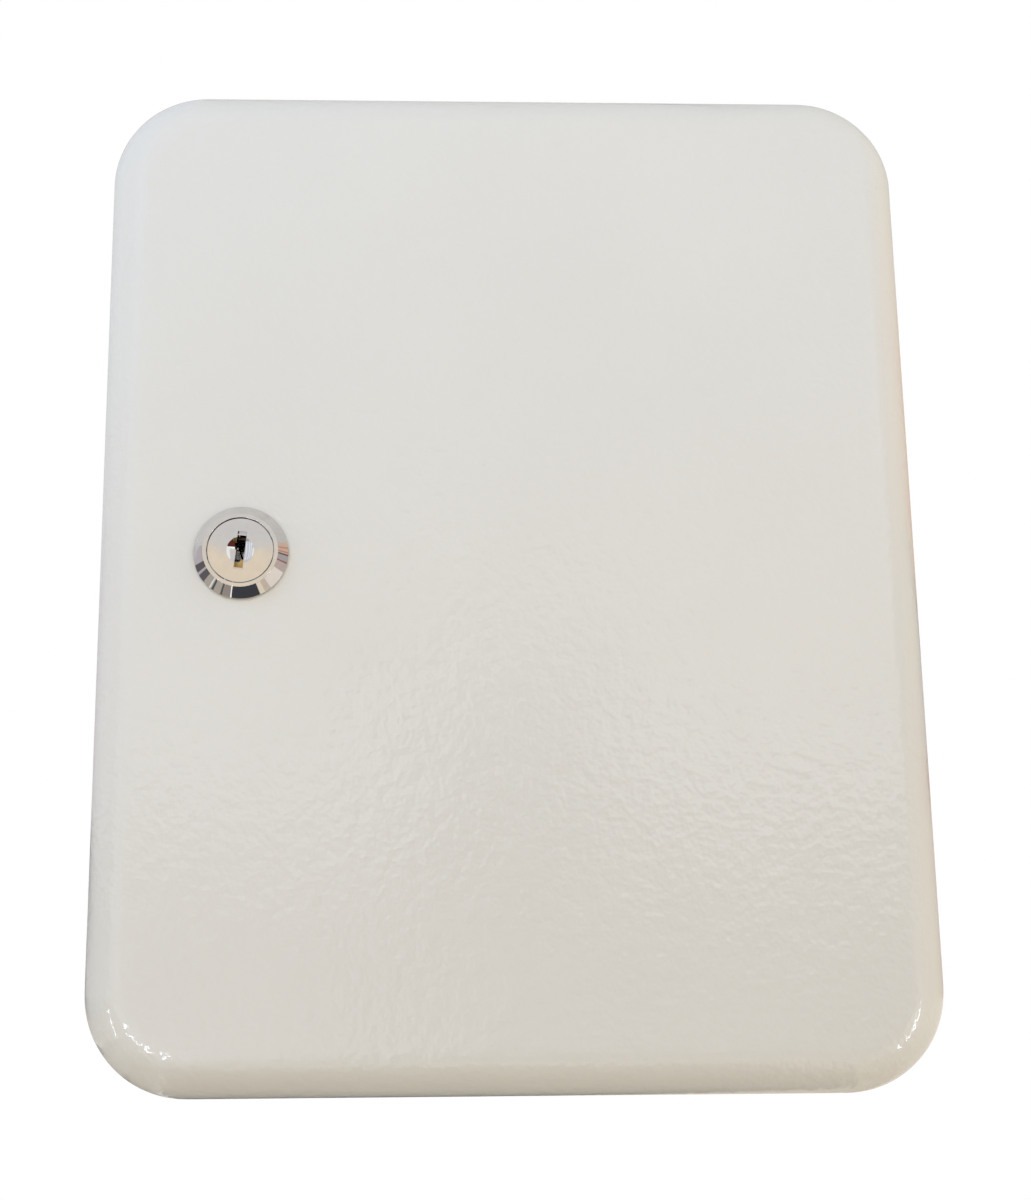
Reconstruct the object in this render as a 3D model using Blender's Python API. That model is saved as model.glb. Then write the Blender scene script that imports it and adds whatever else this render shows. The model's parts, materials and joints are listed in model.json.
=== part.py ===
"""Wall key cabinet: a drawn steel case with rows of key hooks, behind a hinged door with a cam lock.

The frame has +Z up, +Y into the wall and the origin in the middle of the back face, so the door faces -Y.
Sizes are in metres.
"""

import math

import bmesh
import bpy
from mathutils import Vector

# Cabinet
WIDTH = 0.200
HEIGHT = 0.250
DEPTH = 0.080
CORNER_RADIUS = 0.024
SHEET = 0.0008
DOOR_DEPTH = 0.0215
DOOR_EDGE_RADIUS = 0.010
CASE_EDGE_RADIUS = 0.003
SEAM_GAP = 0.001
SEAT_GAP = 0.0003
CUT_OVERRUN = 0.002
CORNER_STEPS = 10
SMOOTH_ANGLE = math.radians(32)
DOOR_EDGE_STEPS = 6
CASE_EDGE_STEPS = 3

HALF_WIDTH = WIDTH / 2
HALF_HEIGHT = HEIGHT / 2
DOOR_FACE_Y = -DEPTH
DOOR_RIM_Y = DOOR_FACE_Y + DOOR_DEPTH
CASE_RIM_Y = DOOR_RIM_Y + SEAM_GAP
SEAM_Y = (DOOR_RIM_Y + CASE_RIM_Y) / 2

# Wall fixing holes in the back of the case
WALL_HOLE_RADIUS = 0.003
WALL_HOLE_INSET = 0.019
LOWER_WALL_HOLE_DROP = 0.0153
WALL_HOLE_STEPS = 16

# Flange turned in round the mouth of the case, which stiffens it and holds the lock's cam
FLANGE_WIDTH = 0.009
FLANGE_INNER_RADIUS = 0.012
FLANGE_REAR_Y = CASE_RIM_Y + SHEET

# Continuous hinge on the right-hand side
HINGE_LENGTH = 0.190
HINGE_SHEET = 0.0008
KNUCKLE_RADIUS = 0.00225
KNUCKLE_COUNT = 10
KNUCKLE_GAP = 0.0005
KNUCKLE_WRAP = math.radians(305)
KNUCKLE_STEPS = 12
KNUCKLE_CLEARANCE = 0.0004
PIN_CLEARANCE = 0.0002
PIN_OVERHANG = 0.0002
PIN_STEPS = 16
DOOR_LEAF_REACH = 0.010
CASE_LEAF_REACH = 0.013

LEAF_OUTER_X = HALF_WIDTH - SHEET - SEAT_GAP
LEAF_INNER_X = LEAF_OUTER_X - HINGE_SHEET
HINGE_X = LEAF_INNER_X + KNUCKLE_RADIUS
PIN_RADIUS = KNUCKLE_RADIUS - HINGE_SHEET - PIN_CLEARANCE
BARREL_REACH = KNUCKLE_RADIUS + KNUCKLE_CLEARANCE

# Hook rails
RAIL_COUNT = 5
HOOK_COUNT = 6
RAIL_SHEET = 0.001
RAIL_HEIGHT = 0.026
RAIL_TAB = 0.014
RAIL_STEP = 0.005
RAIL_SIDE_CLEARANCE = 0.011
TOP_RAIL_DROP = 0.025
BOTTOM_RAIL_RISE = 0.049
HOOK_WIDTH = 0.0045
HOOK_REACH = 0.0105
HOOK_TIP = 0.004
HOOK_BEND_RADIUS = 0.0016
HOOK_BEND_STEPS = 3
HOOK_END_MARGIN = 0.007
HOOK_FOOT_HEIGHT = 0.003
HOOK_WINDOW_CLEARANCE = 0.0004

RAIL_HALF_LENGTH = HALF_WIDTH - SHEET - RAIL_SIDE_CLEARANCE
RAIL_TAB_REAR_Y = -SHEET - SEAT_GAP
RAIL_TAB_FRONT_Y = RAIL_TAB_REAR_Y - RAIL_SHEET
RAIL_FACE_Y = RAIL_TAB_FRONT_Y - RAIL_STEP
RAIL_FACE_HALF = RAIL_HALF_LENGTH - RAIL_TAB - RAIL_STEP
HOOK_FOOT_Z = HOOK_FOOT_HEIGHT - RAIL_HEIGHT / 2
HOOK_WINDOW_HEIGHT = HOOK_REACH + HOOK_TIP - HOOK_BEND_RADIUS

# Rivets that hold the rails
RIVET_RADIUS = 0.0016
RIVET_HEAD_RADIUS = 0.0033
RIVET_HEAD_HEIGHT = 0.0013
RIVET_STEPS = 12
RIVET_DOME_STEPS = 3

# Paper number strip on each rail, above its hooks
LABEL_HEIGHT = 0.0065
LABEL_SHEET = 0.0002
LABEL_EDGE_MARGIN = 0.0010

# Cam lock. Depths are measured back from the face of the door
LOCK_INSET = 0.0348
LOCK_Z = 0.0015
LOCK_TURN = math.radians(6)
LOCK_STEPS = 32
HEXAGON_STEPS = 24
BEZEL_RADIUS = 0.01135
BEZEL_FLAT_RADIUS = 0.0090
BEZEL_HEIGHT = 0.0028
BEZEL_RIM = 0.0004
BARREL_RADIUS = 0.00925
BARREL_HALF_FLATS = 0.0080
DOOR_HOLE_CLEARANCE = 0.00035
DOOR_HOLE_HALF_FLATS = 0.0087
PLUG_HEAD_RADIUS = 0.00785
PLUG_HEAD_HEIGHT = 0.0020
PLUG_RADIUS = 0.0065
PLUG_CLEARANCE = 0.0002
DISH_RADIUS = 0.0033
DISH_DEPTH = 0.0006
DISH_STEPS = 4
KEYWAY_WIDTH = 0.0021
KEY_MOUTH_HEIGHT = 0.0095
KEY_MOUTH_DEPTH = 0.0013
KEYWAY_HEIGHT = 0.0080
KEYWAY_END_DEPTH = 0.0185
SHANK_HALF_SIDE = 0.0033
STOP_WASHER_SHEET = 0.001
STOP_WASHER_RADIUS = 0.0070
STOP_LUG_REACH = 0.0018
STOP_LUG_ANGLE = math.radians(20)
STOP_SLACK_ANGLE = math.radians(2)
PLUG_TURN = math.radians(90)
STOP_WALL_OVERLAP = 0.0009
CAM_RUNNING_GAP = 0.0007
CAM_SHEET = 0.0018
CAM_ROOT_HALF_WIDTH = 0.0075
CAM_TIP_HALF_WIDTH = 0.0055
CAM_TIP_CLEARANCE = 0.0038
CAM_ROOT_STEPS = 10
CAM_TIP_STEPS = 3
SQUARE_STEPS = 8
CAM_WASHER_RADIUS = 0.0058
CAM_WASHER_SHEET = 0.0008
SCREW_RADIUS = 0.0020
SCREW_HEAD_HALF_FLATS = 0.0035
SCREW_HEAD_HEIGHT = 0.0028
SCREW_ENGAGEMENT = 0.006
NUT_HALF_FLATS = 0.0120
NUT_HEIGHT = 0.0033

LOCK_X = LOCK_INSET - HALF_WIDTH
BEZEL_SEAT_DEPTH = -SEAT_GAP
BEZEL_FACE_DEPTH = BEZEL_SEAT_DEPTH - BEZEL_HEIGHT
PLUG_FACE_DEPTH = BEZEL_FACE_DEPTH + PLUG_CLEARANCE
PLUG_SHOULDER_DEPTH = PLUG_FACE_DEPTH + PLUG_HEAD_HEIGHT
CAM_FRONT_DEPTH = FLANGE_REAR_Y - DOOR_FACE_Y + CAM_RUNNING_GAP
CAM_REAR_DEPTH = CAM_FRONT_DEPTH + CAM_SHEET
STOP_REAR_DEPTH = CAM_FRONT_DEPTH - SEAT_GAP
STOP_FRONT_DEPTH = STOP_REAR_DEPTH - STOP_WASHER_SHEET
PLUG_END_DEPTH = STOP_FRONT_DEPTH - SEAT_GAP
SHANK_END_DEPTH = CAM_REAR_DEPTH - SEAT_GAP
CAM_LENGTH = LOCK_INSET - SHEET - CAM_TIP_CLEARANCE
SCREW_BORE_RADIUS = SCREW_RADIUS + SEAT_GAP
SCREW_HEAD_DEPTH = CAM_REAR_DEPTH + SEAT_GAP + CAM_WASHER_SHEET + SEAT_GAP
SCREW_END_DEPTH = SHANK_END_DEPTH - SCREW_ENGAGEMENT

# Wafers that a key lines up, and their springs
WAFER_PITCH = 0.003
FIRST_WAFER_DEPTH = 0.0015
WAFER_SHEET = 0.001
WAFER_HALF_WIDTH = 0.0034
WAFER_SLOT_GAP = 0.0003
WAFER_SHORT = 0.00015
WAFER_TRAVEL = 0.0008
WAFER_WINDOW_CLEARANCE = 0.0005
WAFER_CUT_STEP = 0.0004
WAFER_CUTS = (0, 1, -1, 1, 0)
WAFER_COUNT = len(WAFER_CUTS)
WAFER_ARC_STEPS = 4
WAFER_LUG_REACH = 0.0014
WAFER_LUG_Z = 0.0017
WAFER_LUG_HEIGHT = 0.0009
SPRING_RADIUS = 0.0005
SPRING_WIRE_RADIUS = 0.00013
SPRING_TURNS = 3
SPRING_TURN_POINTS = 8
SPRING_POCKET_FLOOR_Z = -0.0035

# Index card in a clear pocket on the inside of the door
POCKET_WIDTH = 0.100
POCKET_HEIGHT = 0.140
POCKET_CENTRE_X = 0.024
POCKET_FILM = 0.0003
POCKET_WELD = 0.003
CARD_SHEET = 0.0003
CARD_SIDE_CLEARANCE = 0.0005
CARD_STAND_UP = 0.004


def principled(name, colour, roughness, metallic):
    """A plain material."""
    material = bpy.data.materials.new(name)
    material.use_nodes = True
    shader = material.node_tree.nodes["Principled BSDF"]
    shader.inputs["Base Color"].default_value = (*colour, 1)
    shader.inputs["Roughness"].default_value = roughness
    shader.inputs["Metallic"].default_value = metallic
    material.diffuse_color = (*colour, 1)
    return material


def rounded_outline(half_width, half_height, radius, steps=CORNER_STEPS):
    """Points of a rectangle with round corners."""
    points = []
    for corner, (side_x, side_z) in enumerate(((1, 1), (-1, 1), (-1, -1), (1, -1))):
        start = math.pi / 2 * corner
        turn = arc(radius, start, start + math.pi / 2, steps)
        points += moved(turn, side_x * (half_width - radius), side_z * (half_height - radius))
    return points


def arc(radius, start, end, steps):
    """Points of an arc round the origin."""
    angles = [start + (end - start) * step / steps for step in range(steps + 1)]
    return [(radius * math.cos(a), radius * math.sin(a)) for a in angles]


def moved(points, x, z):
    """The same points, shifted."""
    return [(a + x, b + z) for a, b in points]


def circle(radius, steps=LOCK_STEPS, half_flats=None):
    """Points of a circle, cut off at two flats on its left and right if half_flats is given."""
    limit = radius if half_flats is None else half_flats
    angles = [2 * math.pi * step / steps for step in range(steps)]
    return [(max(-limit, min(limit, radius * math.cos(a))), radius * math.sin(a)) for a in angles]


def square(half_side, steps=LOCK_STEPS):
    """Points of a square, one on each ray that a circle's points lie on."""
    points = []
    for x, z in circle(half_side, steps):
        reach = half_side / max(abs(x), abs(z))
        points.append((x * reach, z * reach))
    return points


def hexagon(half_flats, steps=HEXAGON_STEPS):
    """Points of a hexagon, one on each ray that a circle's points lie on."""
    points = []
    for step in range(steps):
        angle = 2 * math.pi * step / steps
        from_flat = (angle + math.pi / 6) % (math.pi / 3) - math.pi / 6
        reach = half_flats / math.cos(from_flat)
        points.append((reach * math.cos(angle), reach * math.sin(angle)))
    return points


def finished(mesh_builder, name):
    """A mesh from a bmesh, with its faces pointing outwards."""
    bmesh.ops.recalc_face_normals(mesh_builder, faces=mesh_builder.faces)
    mesh = bpy.data.meshes.new(name)
    mesh_builder.to_mesh(mesh)
    mesh_builder.free()
    return mesh


def loft(name, rings, hollow=False):
    """A solid through rings of (points, y), capped at both ends, or joined from last to first."""
    builder = bmesh.new()
    loops = [[builder.verts.new((x, y, z)) for x, z in points] for points, y in rings]
    pairs = list(zip(loops, loops[1:] + loops[:1] if hollow else loops[1:]))
    for first, second in pairs:
        count = len(first)
        for i in range(count):
            after = (i + 1) % count
            builder.faces.new((first[i], first[after], second[after], second[i]))
    if not hollow:
        builder.faces.new(loops[0])
        builder.faces.new(loops[-1])
    return finished(builder, name)


def prisms(name, shapes):
    """Straight solids in one mesh, each from an outline, its two ends, and the axis it runs along."""
    place = {
        "X": lambda a, b, along: (along, a, b),
        "Y": lambda a, b, along: (a, along, b),
        "Z": lambda a, b, along: (a, b, along),
    }
    builder = bmesh.new()
    for points, low, high, axis in shapes:
        ends = [[builder.verts.new(place[axis](a, b, along)) for a, b in points] for along in (low, high)]
        builder.faces.new(ends[0])
        builder.faces.new(ends[1])
        for i in range(len(points)):
            after = (i + 1) % len(points)
            builder.faces.new((ends[0][i], ends[0][after], ends[1][after], ends[1][i]))
    return finished(builder, name)


def rectangle(low_a, high_a, low_b, high_b):
    """The four corners of a rectangle."""
    return [(low_a, low_b), (high_a, low_b), (high_a, high_b), (low_a, high_b)]


def combined(base, tool, operation):
    """The mesh that a Boolean makes of two meshes."""
    base_object = bpy.data.objects.new("base", base)
    tool_object = bpy.data.objects.new("tool", tool)
    for each in (base_object, tool_object):
        bpy.context.scene.collection.objects.link(each)
    modifier = base_object.modifiers.new("combine", "BOOLEAN")
    modifier.operation = operation
    modifier.object = tool_object
    bpy.context.view_layer.update()
    evaluated = base_object.evaluated_get(bpy.context.evaluated_depsgraph_get())
    result = bpy.data.meshes.new_from_object(evaluated)
    result.name = base.name
    for each in (base_object, tool_object):
        bpy.data.objects.remove(each)
    return result


def cut(base, tool):
    return combined(base, tool, "DIFFERENCE")


def piece(name, data, material, parent=None, location=(0, 0, 0)):
    """An object for one piece, shaded smooth where its faces meet at a low angle."""
    thing = bpy.data.objects.new(name, data)
    bpy.context.scene.collection.objects.link(thing)
    if isinstance(data, bpy.types.Mesh):
        data.shade_smooth()
        data.set_sharp_from_angle(angle=SMOOTH_ANGLE)
    data.materials.clear()
    data.materials.append(material)
    thing.parent = parent
    thing.location = location
    return thing


def axis_empty(name, location, parent=None):
    """An empty that stands on a joint's axis."""
    empty = bpy.data.objects.new(name, None)
    bpy.context.scene.collection.objects.link(empty)
    empty.parent = parent
    empty.location = location
    return empty


def pan(name, face_y, depth, edge_radius, edge_steps, flange=None):
    """A drawn sheet pan with round corners and a round edge. A negative depth opens towards -Y."""
    side = math.copysign(1, depth)
    angles = [math.pi / 2 * step / edge_steps for step in range(edge_steps + 1)]

    def ring(inset, y):
        return rounded_outline(HALF_WIDTH - inset, HALF_HEIGHT - inset, CORNER_RADIUS - inset), y

    def edge(wall):
        bend = edge_radius - wall
        insets = [wall + bend * (1 - math.sin(a)) for a in angles]
        depths = [wall + bend * (1 - math.cos(a)) for a in angles]
        return [ring(inset, face_y + side * deep) for inset, deep in zip(insets, depths)]

    rim_y = face_y + depth
    rim = [ring(0, rim_y), ring(SHEET, rim_y)]
    if flange is not None:
        inset = SHEET + flange
        mouth = rounded_outline(HALF_WIDTH - inset, HALF_HEIGHT - inset, FLANGE_INNER_RADIUS)
        inner_y = rim_y - side * SHEET
        rim = [ring(0, rim_y), (mouth, rim_y), (mouth, inner_y), ring(SHEET, inner_y)]
    return loft(name, edge(0) + rim + edge(SHEET)[::-1])


def hinge_notch(inner_x):
    """The room that the hinge's barrel takes out of a side wall, from inner_x outwards."""
    half = HINGE_LENGTH / 2 + PIN_OVERHANG + KNUCKLE_GAP
    shape = rectangle(inner_x, HALF_WIDTH + CUT_OVERRUN, SEAM_Y - BARREL_REACH, SEAM_Y + BARREL_REACH)
    return prisms("hinge_notch", [(shape, -half, half, "Z")])


def rail_heights():
    """The middle of each hook rail, from the top down."""
    top = HALF_HEIGHT - SHEET - TOP_RAIL_DROP
    bottom = BOTTOM_RAIL_RISE - HALF_HEIGHT + SHEET
    return [top + (bottom - top) * row / (RAIL_COUNT - 1) for row in range(RAIL_COUNT)]


def rivet_places():
    """The two rivets of each rail, as x and z."""
    x = RAIL_HALF_LENGTH - RAIL_TAB / 2
    return [(side * x, z) for z in rail_heights() for side in (-1, 1)]


def wall_hole_places():
    """Four holes near the sides, between the first two rails and below the last one."""
    heights = rail_heights()
    x = HALF_WIDTH - WALL_HOLE_INSET
    upper = (heights[0] + heights[1]) / 2
    lower = heights[-1] - RAIL_HEIGHT / 2 - LOWER_WALL_HOLE_DROP
    return [(side * x, z) for z in (upper, lower) for side in (-1, 1)]


def case_shell(material):
    """The drawn case, with its fixing holes and rivet holes. Its flange leaves room for the hinge."""
    mesh = pan("case_shell", 0, CASE_RIM_Y, CASE_EDGE_RADIUS, CASE_EDGE_STEPS, FLANGE_WIDTH)
    mesh = cut(mesh, hinge_notch(HALF_WIDTH - SHEET - FLANGE_WIDTH - CUT_OVERRUN))
    ends = (-SHEET - CUT_OVERRUN, CUT_OVERRUN)
    wall_hole = circle(WALL_HOLE_RADIUS, WALL_HOLE_STEPS)
    rivet_hole = circle(RIVET_RADIUS + SEAT_GAP, RIVET_STEPS)
    holes = [(moved(wall_hole, x, z), *ends, "Y") for x, z in wall_hole_places()]
    holes += [(moved(rivet_hole, x, z), *ends, "Y") for x, z in rivet_places()]
    return piece("case_shell", cut(mesh, prisms("back_holes", holes)), material)


def leaf_mesh(name, side, reach, first_knuckle):
    """A hinge leaf with rolled knuckles. Its plate runs to the given side of the seam along Y."""
    inner_radius = KNUCKLE_RADIUS - HINGE_SHEET
    angles = [math.pi - KNUCKLE_WRAP * step / KNUCKLE_STEPS for step in range(KNUCKLE_STEPS + 1)]

    def roll(radius):
        return [(HINGE_X + radius * math.cos(a), SEAM_Y - side * radius * math.sin(a)) for a in angles]

    tip_y = SEAM_Y + side * reach
    knuckle_outline = roll(KNUCKLE_RADIUS) + roll(inner_radius)[::-1]
    outline = [(LEAF_INNER_X, tip_y)] + knuckle_outline + [(LEAF_OUTER_X, tip_y)]
    plate = prisms(name, [(outline, -HINGE_LENGTH / 2, HINGE_LENGTH / 2, "Z")])
    room = rectangle(
        LEAF_INNER_X - CUT_OVERRUN, HINGE_X + BARREL_REACH, SEAM_Y - BARREL_REACH, SEAM_Y + BARREL_REACH
    )
    pitch = HINGE_LENGTH / KNUCKLE_COUNT
    gaps = []
    for knuckle in range(1 - first_knuckle, KNUCKLE_COUNT, 2):
        low = -HINGE_LENGTH / 2 + knuckle * pitch - KNUCKLE_GAP / 2
        high = low + pitch + KNUCKLE_GAP
        if knuckle == 0:
            low -= CUT_OVERRUN
        if knuckle == KNUCKLE_COUNT - 1:
            high += CUT_OVERRUN
        gaps.append((room, low, high, "Z"))
    return cut(plate, prisms("other_knuckles", gaps))


def hinge_pin(material):
    """The pin through all the knuckles."""
    half = HINGE_LENGTH / 2 + PIN_OVERHANG
    round_end = circle(PIN_RADIUS, PIN_STEPS)
    pin = piece("hinge_pin", loft("hinge_pin", [(round_end, -half), (round_end, half)]), material)
    pin.location = (HINGE_X, SEAM_Y, 0)
    pin.rotation_euler = (math.pi / 2, 0, 0)
    return pin


def hook_outline():
    """Side view of one hook, as y and z: a tongue that leaves the rail's face and turns up at its tip."""
    tip_y = RAIL_FACE_Y - HOOK_REACH
    under_z = HOOK_FOOT_Z - RAIL_SHEET
    bend = arc(HOOK_BEND_RADIUS, -math.pi / 2, -math.pi, HOOK_BEND_STEPS)
    bend = moved(bend, tip_y + HOOK_BEND_RADIUS, under_z + HOOK_BEND_RADIUS)
    root_y = RAIL_FACE_Y + RAIL_SHEET / 2
    return [(root_y, under_z)] + bend + [
        (tip_y, under_z + HOOK_TIP),
        (tip_y + RAIL_SHEET, under_z + HOOK_TIP),
        (tip_y + RAIL_SHEET, HOOK_FOOT_Z),
        (root_y, HOOK_FOOT_Z),
    ]


def hook_places():
    """The middle of each hook along a rail."""
    half = RAIL_FACE_HALF - HOOK_END_MARGIN
    return [half * (2 * hook / (HOOK_COUNT - 1) - 1) for hook in range(HOOK_COUNT)]


def rail_mesh():
    """A strip that steps forward off the back of the case, with hooks pressed out of its face."""
    half_height = RAIL_HEIGHT / 2
    bend_x = RAIL_FACE_HALF + RAIL_STEP
    rear = [
        (-RAIL_HALF_LENGTH, RAIL_TAB_REAR_Y),
        (-bend_x, RAIL_TAB_REAR_Y),
        (-RAIL_FACE_HALF, RAIL_FACE_Y + RAIL_SHEET),
        (RAIL_FACE_HALF, RAIL_FACE_Y + RAIL_SHEET),
        (bend_x, RAIL_TAB_REAR_Y),
        (RAIL_HALF_LENGTH, RAIL_TAB_REAR_Y),
    ]
    front = [(x, y - RAIL_SHEET) for x, y in rear[::-1]]
    strip = prisms("hook_rail", [(rear + front, -half_height, half_height, "Z")])
    window_half = HOOK_WIDTH / 2 + HOOK_WINDOW_CLEARANCE
    windows = []
    hooks = []
    for x in hook_places():
        shape = rectangle(x - window_half, x + window_half, HOOK_FOOT_Z, HOOK_FOOT_Z + HOOK_WINDOW_HEIGHT)
        windows.append((shape, RAIL_FACE_Y - CUT_OVERRUN, RAIL_FACE_Y + RAIL_SHEET + CUT_OVERRUN, "Y"))
        hooks.append((hook_outline(), x - HOOK_WIDTH / 2, x + HOOK_WIDTH / 2, "X"))
    rivet_hole = circle(RIVET_RADIUS + SEAT_GAP, RIVET_STEPS)
    for side in (-1, 1):
        at = moved(rivet_hole, side * (RAIL_HALF_LENGTH - RAIL_TAB / 2), 0)
        windows.append((at, RAIL_TAB_FRONT_Y - CUT_OVERRUN, RAIL_TAB_REAR_Y + CUT_OVERRUN, "Y"))
    strip = cut(strip, prisms("windows", windows))
    return combined(strip, prisms("hooks", hooks), "UNION")


def rivet_mesh():
    """A domed rivet whose shank ends inside the back of the case. Its origin is on the back face."""
    head_seat = RAIL_TAB_FRONT_Y - SEAT_GAP
    shank = circle(RIVET_RADIUS, RIVET_STEPS)
    rings = [(shank, -SEAT_GAP), (shank, head_seat)]
    for step in range(RIVET_DOME_STEPS + 1):
        angle = math.pi / 2 * step / (RIVET_DOME_STEPS + 1)
        head = circle(RIVET_HEAD_RADIUS * math.cos(angle), RIVET_STEPS)
        rings.append((head, head_seat - RIVET_HEAD_HEIGHT * math.sin(angle)))
    return loft("rail_rivet", rings)


def label_mesh():
    """The paper strip that carries the numbers of a row."""
    rear = RAIL_FACE_Y - SEAT_GAP
    high = RAIL_HEIGHT / 2 - LABEL_EDGE_MARGIN
    half = RAIL_FACE_HALF - LABEL_EDGE_MARGIN
    strip = rectangle(-half, half, high - LABEL_HEIGHT, high)
    return prisms("number_strip", [(strip, rear - LABEL_SHEET, rear, "Y")])


def rails(steel, zinc, paper):
    """The rows of hooks with their rivets and number strips."""
    rail, rivet, label = rail_mesh(), rivet_mesh(), label_mesh()
    for row, z in enumerate(rail_heights(), 1):
        piece(f"hook_rail_{row}", rail, steel, location=(0, 0, z))
        piece(f"number_strip_{row}", label, paper, location=(0, 0, z))
    for number, (x, z) in enumerate(rivet_places(), 1):
        piece(f"rail_rivet_{number:02d}", rivet, zinc, location=(x, 0, z))


def door_shell(material, hinge):
    """The drawn door, with the hole for the lock and the hinge notch."""
    mesh = pan("door_shell", DOOR_FACE_Y, DOOR_DEPTH, DOOR_EDGE_RADIUS, DOOR_EDGE_STEPS)
    mesh = cut(mesh, hinge_notch(LEAF_INNER_X))
    hole = circle(BARREL_RADIUS + DOOR_HOLE_CLEARANCE, LOCK_STEPS, DOOR_HOLE_HALF_FLATS)
    ends = (DOOR_FACE_Y - CUT_OVERRUN, DOOR_FACE_Y + SHEET + CUT_OVERRUN)
    mesh = cut(mesh, prisms("lock_hole", [(moved(hole, LOCK_X, LOCK_Z), *ends, "Y")]))
    return piece("door_shell", mesh, material, hinge, -hinge.location)


def index_pocket(clear, paper, hinge):
    """A clear pocket on the inside of the door, open at the top, and the card in it."""
    inside = SEAT_GAP + CARD_SHEET + SEAT_GAP
    front = DOOR_FACE_Y + SHEET + SEAT_GAP
    rear = front + POCKET_FILM + inside + POCKET_FILM
    left, right = POCKET_CENTRE_X - POCKET_WIDTH / 2, POCKET_CENTRE_X + POCKET_WIDTH / 2
    bottom, top = -POCKET_HEIGHT / 2, POCKET_HEIGHT / 2
    body = prisms("index_pocket", [(rectangle(left, right, bottom, top), front, rear, "Y")])
    mouth = rectangle(left + POCKET_WELD, right - POCKET_WELD, bottom + POCKET_WELD, top + CUT_OVERRUN)
    slot = prisms("slot", [(mouth, front + POCKET_FILM, rear - POCKET_FILM, "Y")])
    piece("index_pocket", cut(body, slot), clear, hinge, -hinge.location)
    margin = POCKET_WELD + CARD_SIDE_CLEARANCE
    sheet = rectangle(left + margin, right - margin, bottom + margin, top + CARD_STAND_UP)
    card_front = front + POCKET_FILM + SEAT_GAP
    card = prisms("index_card", [(sheet, card_front, card_front + CARD_SHEET, "Y")])
    piece("index_card", card, paper, hinge, -hinge.location)


def sector(radius, half_angle, middle):
    """A wedge-shaped outline round a middle direction."""
    angles = [middle + half_angle * share for share in (-1, -1 / 2, 0, 1 / 2, 1)]
    return [(0, 0)] + [(radius * math.cos(a), radius * math.sin(a)) for a in angles]


def lock_housing(chrome, lock):
    """The bevelled bezel and its barrel, with wafer grooves on four sides and a stop wall at its end."""
    bore = PLUG_RADIUS + PLUG_CLEARANCE
    recess = PLUG_HEAD_RADIUS + PLUG_CLEARANCE
    recess_floor = PLUG_SHOULDER_DEPTH + SEAT_GAP
    stop_bore = STOP_WASHER_RADIUS + SEAT_GAP
    end = PLUG_END_DEPTH + STOP_WALL_OVERLAP
    rings = [
        (circle(BEZEL_RADIUS), BEZEL_SEAT_DEPTH),
        (circle(BEZEL_RADIUS), BEZEL_SEAT_DEPTH - BEZEL_RIM),
        (circle(BEZEL_FLAT_RADIUS), BEZEL_FACE_DEPTH),
        (circle(recess), BEZEL_FACE_DEPTH),
        (circle(recess), recess_floor),
        (circle(bore), recess_floor),
        (circle(bore), PLUG_END_DEPTH),
        (circle(stop_bore), PLUG_END_DEPTH),
        (circle(stop_bore), end),
        (circle(BARREL_RADIUS, half_flats=BARREL_HALF_FLATS), end),
        (circle(BARREL_RADIUS, half_flats=BARREL_HALF_FLATS), BEZEL_SEAT_DEPTH),
    ]
    mesh = loft("lock_housing", rings, hollow=True)
    half_width = WAFER_HALF_WIDTH + WAFER_SLOT_GAP
    half_height = PLUG_RADIUS - WAFER_SHORT + WAFER_TRAVEL + WAFER_SLOT_GAP
    groove_front = FIRST_WAFER_DEPTH - WAFER_PITCH / 2
    upright = rectangle(-half_width, half_width, -half_height, half_height)
    level = rectangle(-half_height, half_height, -half_width, half_width)
    opening = STOP_LUG_ANGLE / 2 + PLUG_TURN / 2 + STOP_SLACK_ANGLE
    gate = sector(BARREL_RADIUS + CUT_OVERRUN, opening, math.pi / 2 + PLUG_TURN / 2)
    gate_front = PLUG_END_DEPTH - SEAT_GAP
    for groove in (upright, level):
        mesh = cut(mesh, prisms("wafer_grooves", [(groove, groove_front, end + CUT_OVERRUN, "Y")]))
    mesh = cut(mesh, prisms("stop_gate", [(gate, gate_front, end + CUT_OVERRUN, "Y")]))
    return piece("lock_housing", mesh, chrome, lock)


def wafer_depths():
    return [FIRST_WAFER_DEPTH + WAFER_PITCH * number for number in range(WAFER_COUNT)]


def dish_cutter():
    """The shallow round hollow in the plug's face."""
    sphere = (DISH_RADIUS**2 + DISH_DEPTH**2) / (2 * DISH_DEPTH)
    half_angle = math.asin(DISH_RADIUS / sphere)
    centre = PLUG_FACE_DEPTH + DISH_DEPTH - sphere
    rings = []
    for step in range(1, DISH_STEPS + 1):
        angle = half_angle * step / DISH_STEPS
        rings.append((circle(sphere * math.sin(angle)), centre + sphere * math.cos(angle)))
    rings.append((circle(DISH_RADIUS), PLUG_FACE_DEPTH - CUT_OVERRUN))
    return loft("dish", rings)


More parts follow.
